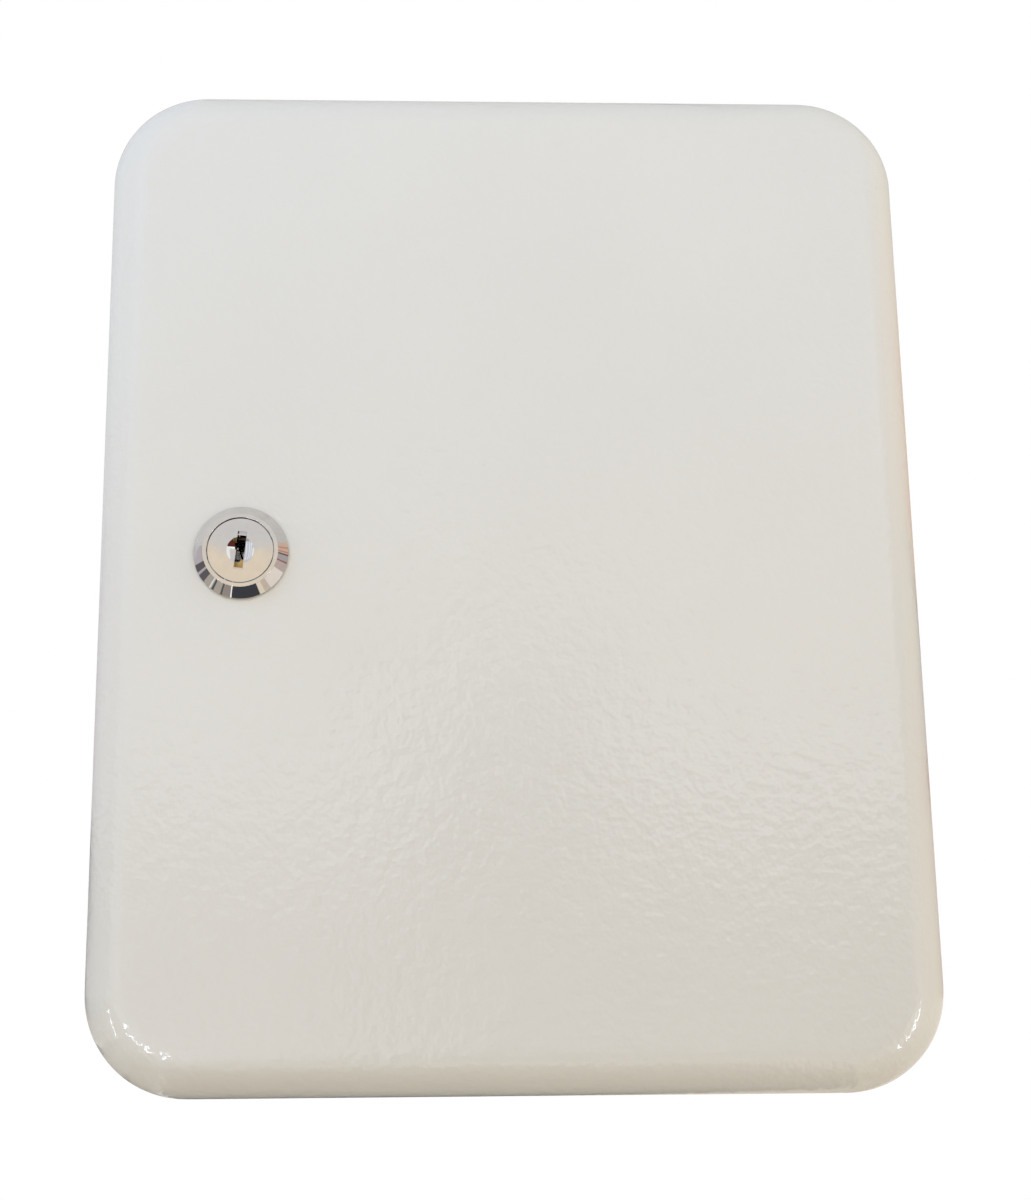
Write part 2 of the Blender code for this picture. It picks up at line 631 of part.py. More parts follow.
def lock_plug(chrome, plug_axis):
    """The core that the key turns, with its keyway, wafer slots, spring pockets and square shank."""
    rings = [
        (circle(PLUG_HEAD_RADIUS), PLUG_FACE_DEPTH),
        (circle(PLUG_HEAD_RADIUS), PLUG_SHOULDER_DEPTH),
        (circle(PLUG_RADIUS), PLUG_SHOULDER_DEPTH),
        (circle(PLUG_RADIUS), PLUG_END_DEPTH),
        (square(SHANK_HALF_SIDE), PLUG_END_DEPTH),
        (square(SHANK_HALF_SIDE), SHANK_END_DEPTH),
    ]
    mesh = cut(loft("lock_plug", rings), dish_cutter())
    half = KEYWAY_WIDTH / 2
    mouth = rectangle(-half, half, -KEY_MOUTH_HEIGHT / 2, KEY_MOUTH_HEIGHT / 2)
    keyway = rectangle(-half, half, -KEYWAY_HEIGHT / 2, KEYWAY_HEIGHT / 2)
    mouth_floor = PLUG_FACE_DEPTH + KEY_MOUTH_DEPTH
    bore = circle(SCREW_BORE_RADIUS, PIN_STEPS)
    bore_ends = (SCREW_END_DEPTH - SEAT_GAP, SHANK_END_DEPTH + CUT_OVERRUN)
    mesh = cut(mesh, prisms("mouth", [(mouth, PLUG_FACE_DEPTH - CUT_OVERRUN, mouth_floor, "Y")]))
    mesh = cut(mesh, prisms("keyway", [(keyway, mouth_floor - SEAT_GAP, KEYWAY_END_DEPTH, "Y")]))
    mesh = cut(mesh, prisms("screw_bore", [(bore, *bore_ends, "Y")]))
    side = WAFER_HALF_WIDTH + WAFER_SLOT_GAP
    slot = rectangle(-side, side, -PLUG_RADIUS - CUT_OVERRUN, PLUG_RADIUS + CUT_OVERRUN)
    slot_half = WAFER_SHEET / 2 + WAFER_SLOT_GAP
    pocket_half = SPRING_RADIUS + SPRING_WIRE_RADIUS + WAFER_SLOT_GAP
    pocket_side = WAFER_HALF_WIDTH + WAFER_LUG_REACH + WAFER_SLOT_GAP
    pocket_top = WAFER_LUG_Z + WAFER_LUG_HEIGHT + WAFER_TRAVEL + WAFER_SLOT_GAP
    pocket = rectangle(WAFER_HALF_WIDTH - SEAT_GAP, pocket_side, SPRING_POCKET_FLOOR_Z, pocket_top)
    slots = [(slot, depth - slot_half, depth + slot_half, "Y") for depth in wafer_depths()]
    pockets = [(pocket, depth - pocket_half, depth + pocket_half, "Y") for depth in wafer_depths()]
    mesh = cut(mesh, prisms("wafer_slots", slots))
    mesh = cut(mesh, prisms("spring_pockets", pockets))
    return piece("lock_plug", mesh, chrome, plug_axis)


def wafer_mesh(cut_steps):
    """A flat wafer with the window that the key passes through, and the lug that its spring lifts."""
    radius = PLUG_RADIUS - WAFER_SHORT
    reach = math.asin(WAFER_HALF_WIDTH / radius)
    angles = [reach * (2 * step / WAFER_ARC_STEPS - 1) for step in range(WAFER_ARC_STEPS + 1)]
    top = [(radius * math.sin(a), radius * math.cos(a)) for a in angles]
    lug_x = WAFER_HALF_WIDTH + WAFER_LUG_REACH
    lug = [
        (WAFER_HALF_WIDTH, WAFER_LUG_Z + WAFER_LUG_HEIGHT),
        (lug_x, WAFER_LUG_Z + WAFER_LUG_HEIGHT),
        (lug_x, WAFER_LUG_Z),
        (WAFER_HALF_WIDTH, WAFER_LUG_Z),
    ]
    outline = top + lug + [(x, -z) for x, z in top[::-1]]
    half = WAFER_SHEET / 2
    half_width = KEYWAY_WIDTH / 2 + WAFER_WINDOW_CLEARANCE
    half_height = KEYWAY_HEIGHT / 2 - WAFER_CUT_STEP
    shift = cut_steps * WAFER_CUT_STEP
    window = rectangle(-half_width, half_width, shift - half_height, shift + half_height)
    body = prisms("wafer", [(outline, -half, half, "Y")])
    return cut(body, prisms("window", [(window, -half - CUT_OVERRUN, half + CUT_OVERRUN, "Y")]))


def spring_points():
    """The middle of a coil's wire, from the pocket's floor up to the wafer's lug."""
    low = SPRING_POCKET_FLOOR_Z + SPRING_WIRE_RADIUS + SEAT_GAP
    high = WAFER_LUG_Z - SPRING_WIRE_RADIUS - SEAT_GAP
    x = WAFER_HALF_WIDTH + WAFER_LUG_REACH / 2
    count = SPRING_TURNS * SPRING_TURN_POINTS
    points = []
    for number in range(count + 1):
        angle = 2 * math.pi * number / SPRING_TURN_POINTS
        rise = low + (high - low) * number / count
        points.append(Vector((x + SPRING_RADIUS * math.cos(angle), SPRING_RADIUS * math.sin(angle), rise)))
    return points


def least_coil_gap(points):
    """The least space between turns, from points that are more than half a turn apart."""
    half_turn = SPRING_TURN_POINTS // 2
    pairs = [(a, b) for i, a in enumerate(points) for b in points[i + half_turn + 1:]]
    return min((a - b).length for a, b in pairs) - 2 * SPRING_WIRE_RADIUS


def spring_curve(name):
    """An open coil of round wire."""
    curve = bpy.data.curves.new(name, "CURVE")
    curve.dimensions = "3D"
    curve.bevel_depth = SPRING_WIRE_RADIUS
    curve.bevel_resolution = 1
    curve.use_fill_caps = True
    points = spring_points()
    spline = curve.splines.new("POLY")
    spline.points.add(len(points) - 1)
    for point, place in zip(spline.points, points):
        point.co = (*place, 1)
    return curve


def wafers(brass, spring_steel, plug_axis):
    """The wafers side by side in the plug, each over its spring."""
    print(f"least gap in a wafer spring: {least_coil_gap(spring_points())} m")
    for number, (depth, steps) in enumerate(zip(wafer_depths(), WAFER_CUTS), 1):
        piece(f"wafer_{number}", wafer_mesh(steps), brass, plug_axis, (0, depth, 0))
        name = f"wafer_spring_{number}"
        piece(name, spring_curve(name), spring_steel, plug_axis, (0, depth, 0))


def stop_washer(steel, plug_axis):
    """A washer on the plug's square shank. Its lug runs between the ends of the housing's stop wall."""
    rings = [
        (circle(STOP_WASHER_RADIUS), STOP_FRONT_DEPTH),
        (circle(STOP_WASHER_RADIUS), STOP_REAR_DEPTH),
        (square(SHANK_HALF_SIDE + SEAT_GAP), STOP_REAR_DEPTH),
        (square(SHANK_HALF_SIDE + SEAT_GAP), STOP_FRONT_DEPTH),
    ]
    body = loft("stop_washer", rings, hollow=True)
    half = STOP_WASHER_RADIUS * math.sin(STOP_LUG_ANGLE / 2)
    root = (STOP_WASHER_RADIUS + SHANK_HALF_SIDE + SEAT_GAP) / 2
    lug = rectangle(-half, half, root, STOP_WASHER_RADIUS + STOP_LUG_REACH)
    tongue = prisms("lug", [(lug, STOP_FRONT_DEPTH, STOP_REAR_DEPTH, "Y")])
    return piece("stop_washer", combined(body, tongue, "UNION"), steel, plug_axis)


def cam(steel, plug_axis):
    """The bolt of the lock: a flat arm that points up, and turns to the left behind the flange to lock."""
    tip_radius = CAM_TIP_HALF_WIDTH / 2
    tip_x, tip_z = CAM_TIP_HALF_WIDTH - tip_radius, CAM_LENGTH - tip_radius
    outline = moved(arc(tip_radius, 0, math.pi / 2, CAM_TIP_STEPS), tip_x, tip_z)
    outline += moved(arc(tip_radius, math.pi / 2, math.pi, CAM_TIP_STEPS), -tip_x, tip_z)
    outline += arc(CAM_ROOT_HALF_WIDTH, math.pi, 2 * math.pi, CAM_ROOT_STEPS)
    body = prisms("lock_cam", [(outline, CAM_FRONT_DEPTH, CAM_REAR_DEPTH, "Y")])
    hole = square(SHANK_HALF_SIDE + SEAT_GAP, SQUARE_STEPS)
    hole_ends = (CAM_FRONT_DEPTH - CUT_OVERRUN, CAM_REAR_DEPTH + CUT_OVERRUN)
    through = prisms("shank_hole", [(hole, *hole_ends, "Y")])
    return piece("lock_cam", cut(body, through), steel, plug_axis)


def cam_fastener(zinc, plug_axis):
    """The washer and the hexagon-head screw that hold the cam."""
    front = CAM_REAR_DEPTH + SEAT_GAP
    rear = front + CAM_WASHER_SHEET
    outer, inner = circle(CAM_WASHER_RADIUS), circle(SCREW_BORE_RADIUS)
    washer = loft("cam_washer", [(outer, front), (outer, rear), (inner, rear), (inner, front)], hollow=True)
    piece("cam_washer", washer, zinc, plug_axis)
    head, shank = hexagon(SCREW_HEAD_HALF_FLATS), circle(SCREW_RADIUS, HEXAGON_STEPS)
    rings = [
        (shank, SCREW_END_DEPTH),
        (shank, SCREW_HEAD_DEPTH),
        (head, SCREW_HEAD_DEPTH),
        (head, SCREW_HEAD_DEPTH + SCREW_HEAD_HEIGHT),
    ]
    piece("cam_screw", loft("cam_screw", rings), zinc, plug_axis)


def lock_nut(zinc, lock):
    """The hexagon nut that clamps the lock to the door."""
    front = SHEET + SEAT_GAP
    rear = front + NUT_HEIGHT
    outer, inner = hexagon(NUT_HALF_FLATS), circle(BARREL_RADIUS + SEAT_GAP, HEXAGON_STEPS)
    rings = [(outer, front), (outer, rear), (inner, rear), (inner, front)]
    return piece("lock_nut", loft("lock_nut", rings, hollow=True), zinc, lock)


def clear_scene():
    for thing in list(bpy.data.objects):
        bpy.data.objects.remove(thing)


def main():
    clear_scene()
    paint = principled("light_grey_powder_coat", (0.73, 0.72, 0.68), 0.3, 0)
    chrome = principled("chrome_plate", (0.80, 0.79, 0.77), 0.08, 1)
    zinc = principled("zinc_plate", (0.66, 0.67, 0.66), 0.3, 1)
    brass = principled("brass", (0.72, 0.50, 0.20), 0.3, 1)
    spring_steel = principled("spring_steel", (0.45, 0.45, 0.46), 0.3, 1)
    paper = principled("white_paper", (0.86, 0.86, 0.84), 0.8, 0)
    clear = principled("clear_film", (0.85, 0.87, 0.88), 0.15, 0)

    case_shell(paint)
    rails(paint, zinc, paper)
    piece("hinge_leaf_case", leaf_mesh("hinge_leaf_case", 1, CASE_LEAF_REACH, 0), paint)
    hinge_pin(zinc)

    hinge = axis_empty("hinge_axis", (HINGE_X, SEAM_Y, 0))
    leaf = leaf_mesh("hinge_leaf_door", -1, DOOR_LEAF_REACH, 1)
    piece("hinge_leaf_door", leaf, paint, hinge, -hinge.location)
    door_shell(paint, hinge)
    index_pocket(clear, paper, hinge)

    lock_place = Vector((LOCK_X, DOOR_FACE_Y, LOCK_Z)) - hinge.location
    lock = axis_empty("lock_axis", lock_place, hinge)
    lock.rotation_euler = (0, LOCK_TURN, 0)
    plug_axis = axis_empty("plug_axis", (0, 0, 0), lock)
    lock_housing(chrome, lock)
    lock_nut(zinc, lock)
    lock_plug(chrome, plug_axis)
    wafers(brass, spring_steel, plug_axis)
    stop_washer(zinc, plug_axis)
    cam(zinc, plug_axis)
    cam_fastener(zinc, plug_axis)


main()
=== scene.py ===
import json
import math

import bmesh
import bpy
from mathutils import Matrix, Vector


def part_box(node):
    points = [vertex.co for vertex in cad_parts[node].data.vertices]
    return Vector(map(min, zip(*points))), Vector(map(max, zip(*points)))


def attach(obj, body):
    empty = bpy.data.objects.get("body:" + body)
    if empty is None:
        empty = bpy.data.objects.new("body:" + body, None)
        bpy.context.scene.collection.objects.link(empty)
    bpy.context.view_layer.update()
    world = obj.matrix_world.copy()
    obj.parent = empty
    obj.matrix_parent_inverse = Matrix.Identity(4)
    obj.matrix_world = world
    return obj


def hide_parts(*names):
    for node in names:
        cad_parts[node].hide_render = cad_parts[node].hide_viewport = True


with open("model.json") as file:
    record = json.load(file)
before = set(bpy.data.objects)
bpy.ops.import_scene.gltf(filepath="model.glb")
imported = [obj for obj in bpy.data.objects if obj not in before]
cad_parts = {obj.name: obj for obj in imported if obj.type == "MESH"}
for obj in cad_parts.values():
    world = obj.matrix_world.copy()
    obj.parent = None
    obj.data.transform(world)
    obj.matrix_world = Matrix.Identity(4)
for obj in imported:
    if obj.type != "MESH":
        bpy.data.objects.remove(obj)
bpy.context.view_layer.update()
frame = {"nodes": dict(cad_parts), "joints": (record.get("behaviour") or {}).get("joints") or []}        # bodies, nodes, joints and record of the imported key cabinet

JOINTS = {joint["name"]: joint for joint in frame["joints"]}

# Overall sizes, read from the frame
DOOR_LOW, DOOR_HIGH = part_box("door_shell")
HALF_WIDTH = DOOR_HIGH.x
HALF_HEIGHT = DOOR_HIGH.z
DOOR_FACE_Y = DOOR_LOW.y
DOOR_RIM_Y = DOOR_HIGH.y
CASE_RIM_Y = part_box("case_shell")[0].y
SEAM_Y = (DOOR_RIM_Y + CASE_RIM_Y) / 2

# Drawn pans, with the values that all the cuts and edges share
SHEET = 0.0008
CORNER_RADIUS = 0.024
DOOR_EDGE_RADIUS = 0.010
CASE_EDGE_RADIUS = 0.003
FACE_MARGIN = 0.002
RIM_ROUND = 0.0003
FOLD_RADIUS = 0.0007
FLANGE_WIDTH = 0.009
FLANGE_INNER_RADIUS = 0.012
CORNER_STEPS = 24
EDGE_STEPS = 14
RIM_STEPS = 4
CUT_OVERRUN = 0.002
SEAT_GAP = 0.0003
SMOOTH_ANGLE = math.radians(35)
SOFTENED_ANGLE = math.radians(50)

# Holes in the back of the case
WALL_HOLE_RADIUS = 0.003
WALL_HOLE_INSET = 0.019
LOWER_WALL_HOLE_DROP = 0.0153
HOLE_CHAMFER = 0.0002
HOLE_STEPS = 40

# Continuous hinge
HINGE_AXIS = Vector(JOINTS["door_hinge"]["pos_m"])
HINGE_SHEET = 0.0008
KNUCKLE_RADIUS = 0.00225
KNUCKLE_COUNT = 10
KNUCKLE_GAP = 0.0005
KNUCKLE_WRAP = math.radians(305)
KNUCKLE_STEPS = 32
KNUCKLE_SOFTENING = 0.00012
BARREL_CLEARANCE = 0.0004
BARREL_REACH = KNUCKLE_RADIUS + BARREL_CLEARANCE
PIN_RADIUS = 0.00125
PIN_CROWN = PIN_RADIUS / 3
LEAF_INNER_X = HINGE_AXIS.x - KNUCKLE_RADIUS
LEAF_OUTER_X = LEAF_INNER_X + HINGE_SHEET
LEAF_LOW, LEAF_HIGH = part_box("hinge_leaf_case")
KNUCKLE_PITCH = (LEAF_HIGH.z - LEAF_LOW.z) / KNUCKLE_COUNT

# Hook rails
RAIL_COUNT = 5
HOOK_COUNT = 6
RAIL_SHEET = 0.001
RAIL_TAB = 0.014
RAIL_STEP = 0.005
RAIL_BEND_RADIUS = 0.0014
BEND_STEPS = 6
HOOK_WIDTH = 0.0045
HOOK_REACH = 0.0105
HOOK_TIP = 0.004
HOOK_END_MARGIN = 0.007
HOOK_FOOT_HEIGHT = 0.003
HOOK_BEND_RADIUS = 0.0011
HOOK_TIP_ROUND = 0.0014
HOOK_WINDOW_CLEARANCE = 0.0004
HOOK_WINDOW_HEIGHT = 0.0129
PRESSED_EDGE = 0.00018
RAIL_BOXES = [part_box(f"hook_rail_{row}") for row in range(1, RAIL_COUNT + 1)]
RAIL_HEIGHTS = [(low.z + high.z) / 2 for low, high in RAIL_BOXES]
RAIL_HALF_HEIGHT = (RAIL_BOXES[0][1].z - RAIL_BOXES[0][0].z) / 2
RAIL_HALF_LENGTH = RAIL_BOXES[0][1].x
RAIL_TAB_REAR_Y = RAIL_BOXES[0][1].y
RAIL_FACE_Y = RAIL_BOXES[0][0].y + HOOK_REACH
RAIL_FACE_HALF = RAIL_HALF_LENGTH - RAIL_TAB - RAIL_STEP

# Rivets
RIVET_RADIUS = 0.0016
RIVET_HEAD_RADIUS = 0.0033
RIVET_HEAD_HEIGHT = 0.0013
RIVET_BRIM = 0.0003
RIVET_STEPS = 40
RIVET_DOME_STEPS = 8
RIVET_HEAD_SEAT_Y = RAIL_TAB_REAR_Y - RAIL_SHEET - SEAT_GAP
RIVET_X = RAIL_HALF_LENGTH - RAIL_TAB / 2

# Printed paper
PRINT_LIFT = 0.00002
FIGURE_HEIGHT_SHARE = 0.70
FIGURE_CURVE_STEPS = 3
FIGURE_MERGE_DISTANCE = 0.000001
STRIP_FIGURE_HEIGHT = 0.0042
STRIP_LINE_WIDTH = 0.00025
STRIP_CORNER = 0.0008
STRIP_MARGIN = 0.0014
CARD_FIGURE_HEIGHT = 0.0030
CARD_ROWS = 15
CARD_COLUMNS = 2
CARD_MARGIN = 0.006
CARD_TOP_MARGIN = 0.016
CARD_LINE_WIDTH = 0.00022
CARD_CORNER = 0.0015
CARD_GUTTER = 0.004
CARD_FIGURE_COLUMN = 0.008

# Clear pocket
POCKET_FILM = 0.0003
POCKET_WELD = 0.003
WELD_RIB_PITCH = 0.0012
WELD_RIB_WIDTH = 0.0005
WELD_RIB_LIFT = 0.00012
POCKET_SOFTENING = 0.0001
POCKET_CORNER = 0.0030
THUMB_NOTCH_RADIUS = 0.0090

# Cam lock. Depths are measured back from the door's face, along the lock's axis. The bezel's land drops
# a little towards the plug, and narrow margins beside its edges keep the flats' shading flat
LOCK_AXIS = Vector(JOINTS["plug_turn"]["pos_m"])
LOCK_UP = Vector(JOINTS["wafer_1_slide"]["axis"])
LOCK_TURN = math.atan2(LOCK_UP.x, LOCK_UP.z)
LOCK_PLACE = Matrix.Translation(LOCK_AXIS) @ Matrix.Rotation(LOCK_TURN, 4, "Y")
LOCK_STEPS = 128
BEZEL_RADIUS = 0.01135
BEZEL_FLAT_RADIUS = 0.0090
BEZEL_FACE_DEPTH = -0.0031
BEZEL_SEAT_DEPTH = -0.0003
BEZEL_RIM = 0.0004
BEZEL_FILLET = 0.00008
BEZEL_MARGIN = 0.00015
BEZEL_LAND_DROP = 0.009
BARREL_RADIUS = 0.00925
BARREL_HALF_FLATS = 0.0080
BARREL_END_DEPTH = 0.0233
THREAD_PITCH = 0.001
THREAD_DEPTH = 0.0005
THREAD_STEPS = 5
DOOR_HOLE_CLEARANCE = 0.00035
DOOR_HOLE_HALF_FLATS = 0.0087
PLUG_HEAD_RADIUS = 0.00785
PLUG_FACE_DEPTH = -0.0029
PLUG_SHOULDER_DEPTH = -0.0009
PLUG_RADIUS = 0.0065
PLUG_CLEARANCE = 0.0002
PLUG_FILLET = 0.00006
PLUG_END_DEPTH = 0.0224
DISH_RADIUS = 0.0033
DISH_DEPTH = 0.0006
DISH_LIP = 0.0001
DISH_STEPS = 10
KEYWAY_WIDTH = 0.0021
KEY_MOUTH_HEIGHT = 0.0092
KEY_MOUTH_DEPTH = 0.0013
KEYWAY_HEIGHT = 0.0080
KEYWAY_END_DEPTH = 0.0185
KEYWAY_CHAMFER = 0.00004
WARD_REACH = 0.0009
WARD_LOW_Z = 0.0018
WARD_HIGH_Z = 0.0029
SHANK_HALF_SIDE = 0.0033

# What the lock carries behind the door
NUT_FRONT_DEPTH = 0.0011
NUT_REAR_DEPTH = 0.0044
NUT_HALF_FLATS = 0.0120
HEXAGON_STEPS = 96
HEXAGON_CHAMFER = 0.0010
CHAMFER_STEPS = 4
STOP_FRONT_DEPTH = 0.0227
STOP_REAR_DEPTH = 0.0237
STOP_WASHER_RADIUS = 0.0070
STOP_LUG_REACH = 0.0018
STOP_LUG_ANGLE = math.radians(20)
STOP_SLACK_ANGLE = math.radians(2)
PLUG_TURN = math.radians(90)
CAM_FRONT_DEPTH = 0.0240
CAM_REAR_DEPTH = 0.0258
CAM_LENGTH = 0.0302
CAM_ROOT_HALF_WIDTH = 0.0075
CAM_TIP_HALF_WIDTH = 0.0055
CAM_EDGE = 0.00022
CAM_STEPS = 24
CAM_HOLE_STEPS = 8
SHANK_END_DEPTH = 0.0255
WASHER_FRONT_DEPTH = 0.0261
WASHER_REAR_DEPTH = 0.0269
WASHER_RADIUS = 0.0058
WASHER_EDGE = 0.00012
SCREW_RADIUS = 0.0020
SCREW_BORE_RADIUS = 0.0023
SCREW_END_DEPTH = 0.0195
SCREW_HEAD_DEPTH = 0.0272
SCREW_HEAD_END_DEPTH = 0.0300
SCREW_HEAD_HALF_FLATS = 0.0035
SCREW_CHAMFER = 0.0004

# Wafers
WAFER_COUNT = 5
WAFER_PITCH = 0.003
FIRST_WAFER_DEPTH = 0.0015
WAFER_DEPTHS = [FIRST_WAFER_DEPTH + WAFER_PITCH * number for number in range(WAFER_COUNT)]
WAFER_SHEET = 0.001
WAFER_HALF_WIDTH = 0.0034
WAFER_SLOT_GAP = 0.0003
WAFER_RADIUS = 0.00635
WAFER_TRAVEL = 0.0008
WAFER_STEPS = 12
WAFER_LUG_REACH = 0.0014
WAFER_LUG_LOW = 0.0017
WAFER_LUG_HIGH = 0.0026
WAFER_WINDOW_HALF_WIDTH = 0.00155
WAFER_WINDOW_TOP = 0.0041
WAFER_WINDOW_SILLS = (-0.0013, -0.0026, -0.0030, -0.0024, -0.0028)
WAFER_EDGE = 0.00006
SPRING_POCKET_HALF = 0.00093
SPRING_POCKET_FLOOR_Z = -0.0035

# Camera, solved from the photo: its place is measured from the middle of the door's face
CAMERA_OFFSET = Vector((-0.03027, -0.44121, -0.11586))
CAMERA_YAW = math.radians(2.1584)
CAMERA_PITCH = math.radians(13.7957)
CAMERA_ROLL = math.radians(-0.5118)
PHOTO_WIDTH = 1031
PHOTO_HEIGHT = 1200
FOCAL_PIXELS = 1898.9
PRINCIPAL_PIXEL = (456.5, 589.5)
SENSOR_WIDTH = 36.0
CAMERA_CLIP_START = 0.001

# Paint
PAINT_COLOUR = (0.735, 0.722, 0.680)
PAINT_MOTTLE_COLOUR = (0.720, 0.706, 0.664)
PAINT_SPECK_COLOUR = (0.36, 0.34, 0.31)
PAINT_ROUGHNESS = 0.34
PAINT_ROUGHNESS_RANGE = (0.31, 0.37)
PEEL_PITCH = 0.0022
PEEL_DEPTH = 0.00018
SAG_PITCH = 0.012
SAG_DEPTH = 0.00006
SPECK_PITCH = 0.006
SPECK_SIZE_SHARE = 0.045
SPECK_CHANCE_SHARE = 0.02

# The range that most of a noise's values lie in, and the colour sockets of a Mix node, which go by number
# because others share their labels
NOISE_RANGE = (0.3, 0.7)
MIX_FIRST = 6
MIX_SECOND = 7
MIX_RESULT = 2

# Finishes with one mottle: colour, mottle colour, metallic, (smoothest, roughest), mottle (grain, detail),
# and marks in the surface (grain, detail, depth)
PLAIN_FINISHES = {
    # Bright chrome with the last faint polishing marks
    "chrome_plate": (
        (0.80, 0.79, 0.78), (0.76, 0.75, 0.74), 1.0, (0.03, 0.06), (0.0025, 4), (0.0012, 2, 0.0000015),
    ),
    # Chrome that the polishing wheel didn't reach
    "satin_chrome": (
        (0.90, 0.93, 0.98), (0.82, 0.85, 0.90), 1.0, (0.34, 0.46), (0.0006, 3), (0.0006, 3, 0.00001),
    ),
    # Near-black painted shade for the faces deep inside the keyway and the wafer slots, where little light
    # gets in
    "keyway_painted_shade": (
        (0.014, 0.013, 0.015), (0.026, 0.024, 0.026), 0.3, (0.5, 0.75), (0.0005, 4), (0.0005, 4, 0.00002),
    ),
    # Drawn spring steel with fine lines and a dark oiled tone
    "spring_wire": (
        (0.45, 0.45, 0.46), (0.33, 0.33, 0.34), 1.0, (0.30, 0.42), (0.0008, 3), (0.0001, 2, 0.000002),
    ),
    # Black printing ink, thinner where the paper's fibres take less
    "printing_ink": (
        (0.02, 0.02, 0.022), (0.06, 0.06, 0.065), 0.0, (0.5, 0.7), (0.0003, 3), None,
    ),
}

# Finishes in layers
ZINC_COLOUR = (0.60, 0.61, 0.60)
ZINC_CLOUD_COLOUR = (0.50, 0.51, 0.51)
ZINC_CAST_COLOUR = (0.62, 0.60, 0.52)
BRASS_COLOUR = (0.72, 0.50, 0.20)
BRASS_DULL_COLOUR = (0.58, 0.39, 0.16)
# Near-black painted shade on the wafers behind the first one
BRASS_PAINTED_SHADE_COLOUR = (0.035, 0.027, 0.020)
PAPER_COLOUR = (0.86, 0.86, 0.84)
PAPER_CLOUD_COLOUR = (0.82, 0.82, 0.79)
PAPER_FIBRE_COLOUR = (0.74, 0.73, 0.70)
FILM_COLOUR = (0.85, 0.87, 0.88)
FILM_CLOUD_COLOUR = (0.92, 0.93, 0.94)

# Setting. A direction is an azimuth to the door's right and an elevation, in degrees
FLOOR_Z = -0.60
FLOOR_HALF_SIZE = 4.0
FLOOR_COLOUR = (0.82, 0.82, 0.81)
DAYLIGHT_COLOUR = (0.48, 0.42, 0.33)
WHITE = (1, 1, 1)

# Soft lamps, which don't show in the gloss: name, azimuth, elevation, distance, (width, height), colour
LAMPS = (
    ("high_left", -38, 32, 0.60, (0.3, 0.3), (1.42, 2.28, 3.72)),
    ("high_right", 42, 30, 0.60, (0.3, 0.3), (1.38, 1.80, 2.52)),
    ("wall_left", -82, 8, 1.10, (0.9, 1.3), (0.81, 0.91, 1.04)),
    ("wall_right", 82, 8, 1.10, (0.9, 1.3), (0.91, 0.85, 0.68)),
    ("room_front", 0, 8, 1.60, (2.0, 1.2), (0.94, 0.86, 0.74)),
    ("back_left", -140, 12, 0.90, (0.9, 0.9), (0.45, 0.47, 0.50)),
    ("back_right", 140, 12, 0.90, (0.9, 0.9), (0.45, 0.47, 0.50)),
)

# Narrow strip lights, which show as glints on the door's lower corners:
# name, side, azimuth, elevation, (width, height)
STRIPS = (
    ("strip_left_near", -1, -20, -11.5, (0.11, 0.016)),
    ("strip_left_far", -1, -52.5, -16, (0.014, 0.08)),
    ("strip_right", 1, 46, -15.5, (0.016, 0.11)),
)
STRIP_COLOUR = (13.0, 14.0, 16.0)
STRIP_DISTANCE = 0.30
STRIP_INSET = 0.012

# Flat cards in front of the door: name, corners as (azimuth, elevation), distance, colour
CARDS = (
    ("grey_card", ((-20, 5), (22, 5), (22, 56), (-20, 56)), 1.32, (0.72, 0.71, 0.70)),
    (
        "tan_card", ((-20, 9), (22, 9), (22, 14.2), (-6.3, 14.2), (-7.7, 14.0), (-20, 21.5)),
        1.30, (0.88, 0.76, 0.60),
    ),
    ("sand_card", ((-20, 4), (22, 4), (22, 9), (-20, 9)), 1.30, (1.10, 1.20, 1.32)),
    ("plum_card", ((-20, -3), (-1, -3), (-1, 4), (-20, 4)), 1.30, (0.38, 0.32, 0.34)),
    ("brown_card", ((-1, -24), (34, -24), (34, 4), (-1, 4)), 1.30, (0.12, 0.03, 0.02)),
    ("lilac_card", ((-20, -32), (-1, -32), (-1, -3), (-20, -3)), 1.30, (0.74, 0.72, 0.78)),
    ("shade_card", ((-1, -32), (7, -32), (7, 11), (0, 11)), 1.10, (0.0, 0.0, 0.0)),
    ("slate_card", ((-40, -12), (-20, -12), (-20, 48), (-40, 48)), 1.32, (0.66, 0.70, 0.78)),
)
SLATS = (-36, -31, -24)
SLAT_WIDTH = 2.2
SLAT_ENDS = (-8, 44)
SLAT_DISTANCE = 1.28
SLAT_COLOUR = (0.96, 0.99, 1.02)

# Boards that stand round the cabinet one after another, by the clock: name, last hour, colour
FIRST_BOARD_HOUR = -0.25
BOARDS = (
    ("grey_board", 2.08, (0.60, 0.58, 0.55)),
    ("peach_board", 2.62, (0.66, 0.49, 0.38)),
    ("lavender_board", 3.00, (0.45, 0.41, 0.41)),
    ("rose_board", 3.50, (0.56, 0.46, 0.43)),
    ("cream_board", 4.45, (0.88, 0.80, 0.72)),
    ("tan_board", 4.80, (0.66, 0.56, 0.46)),
    ("straw_board", 5.08, (0.85, 0.76, 0.62)),
    ("black_board", 6.58, (0.055, 0.057, 0.065)),
    ("umber_board", 7.20, (0.34, 0.30, 0.27)),
    ("stone_board", 8.15, (0.47, 0.43, 0.38)),
    ("dark_board", 8.95, (0.13, 0.12, 0.13)),
    ("mauve_board", 9.70, (0.54, 0.49, 0.53)),
    ("blue_board", 11.75, (0.655, 0.66, 0.675)),
)

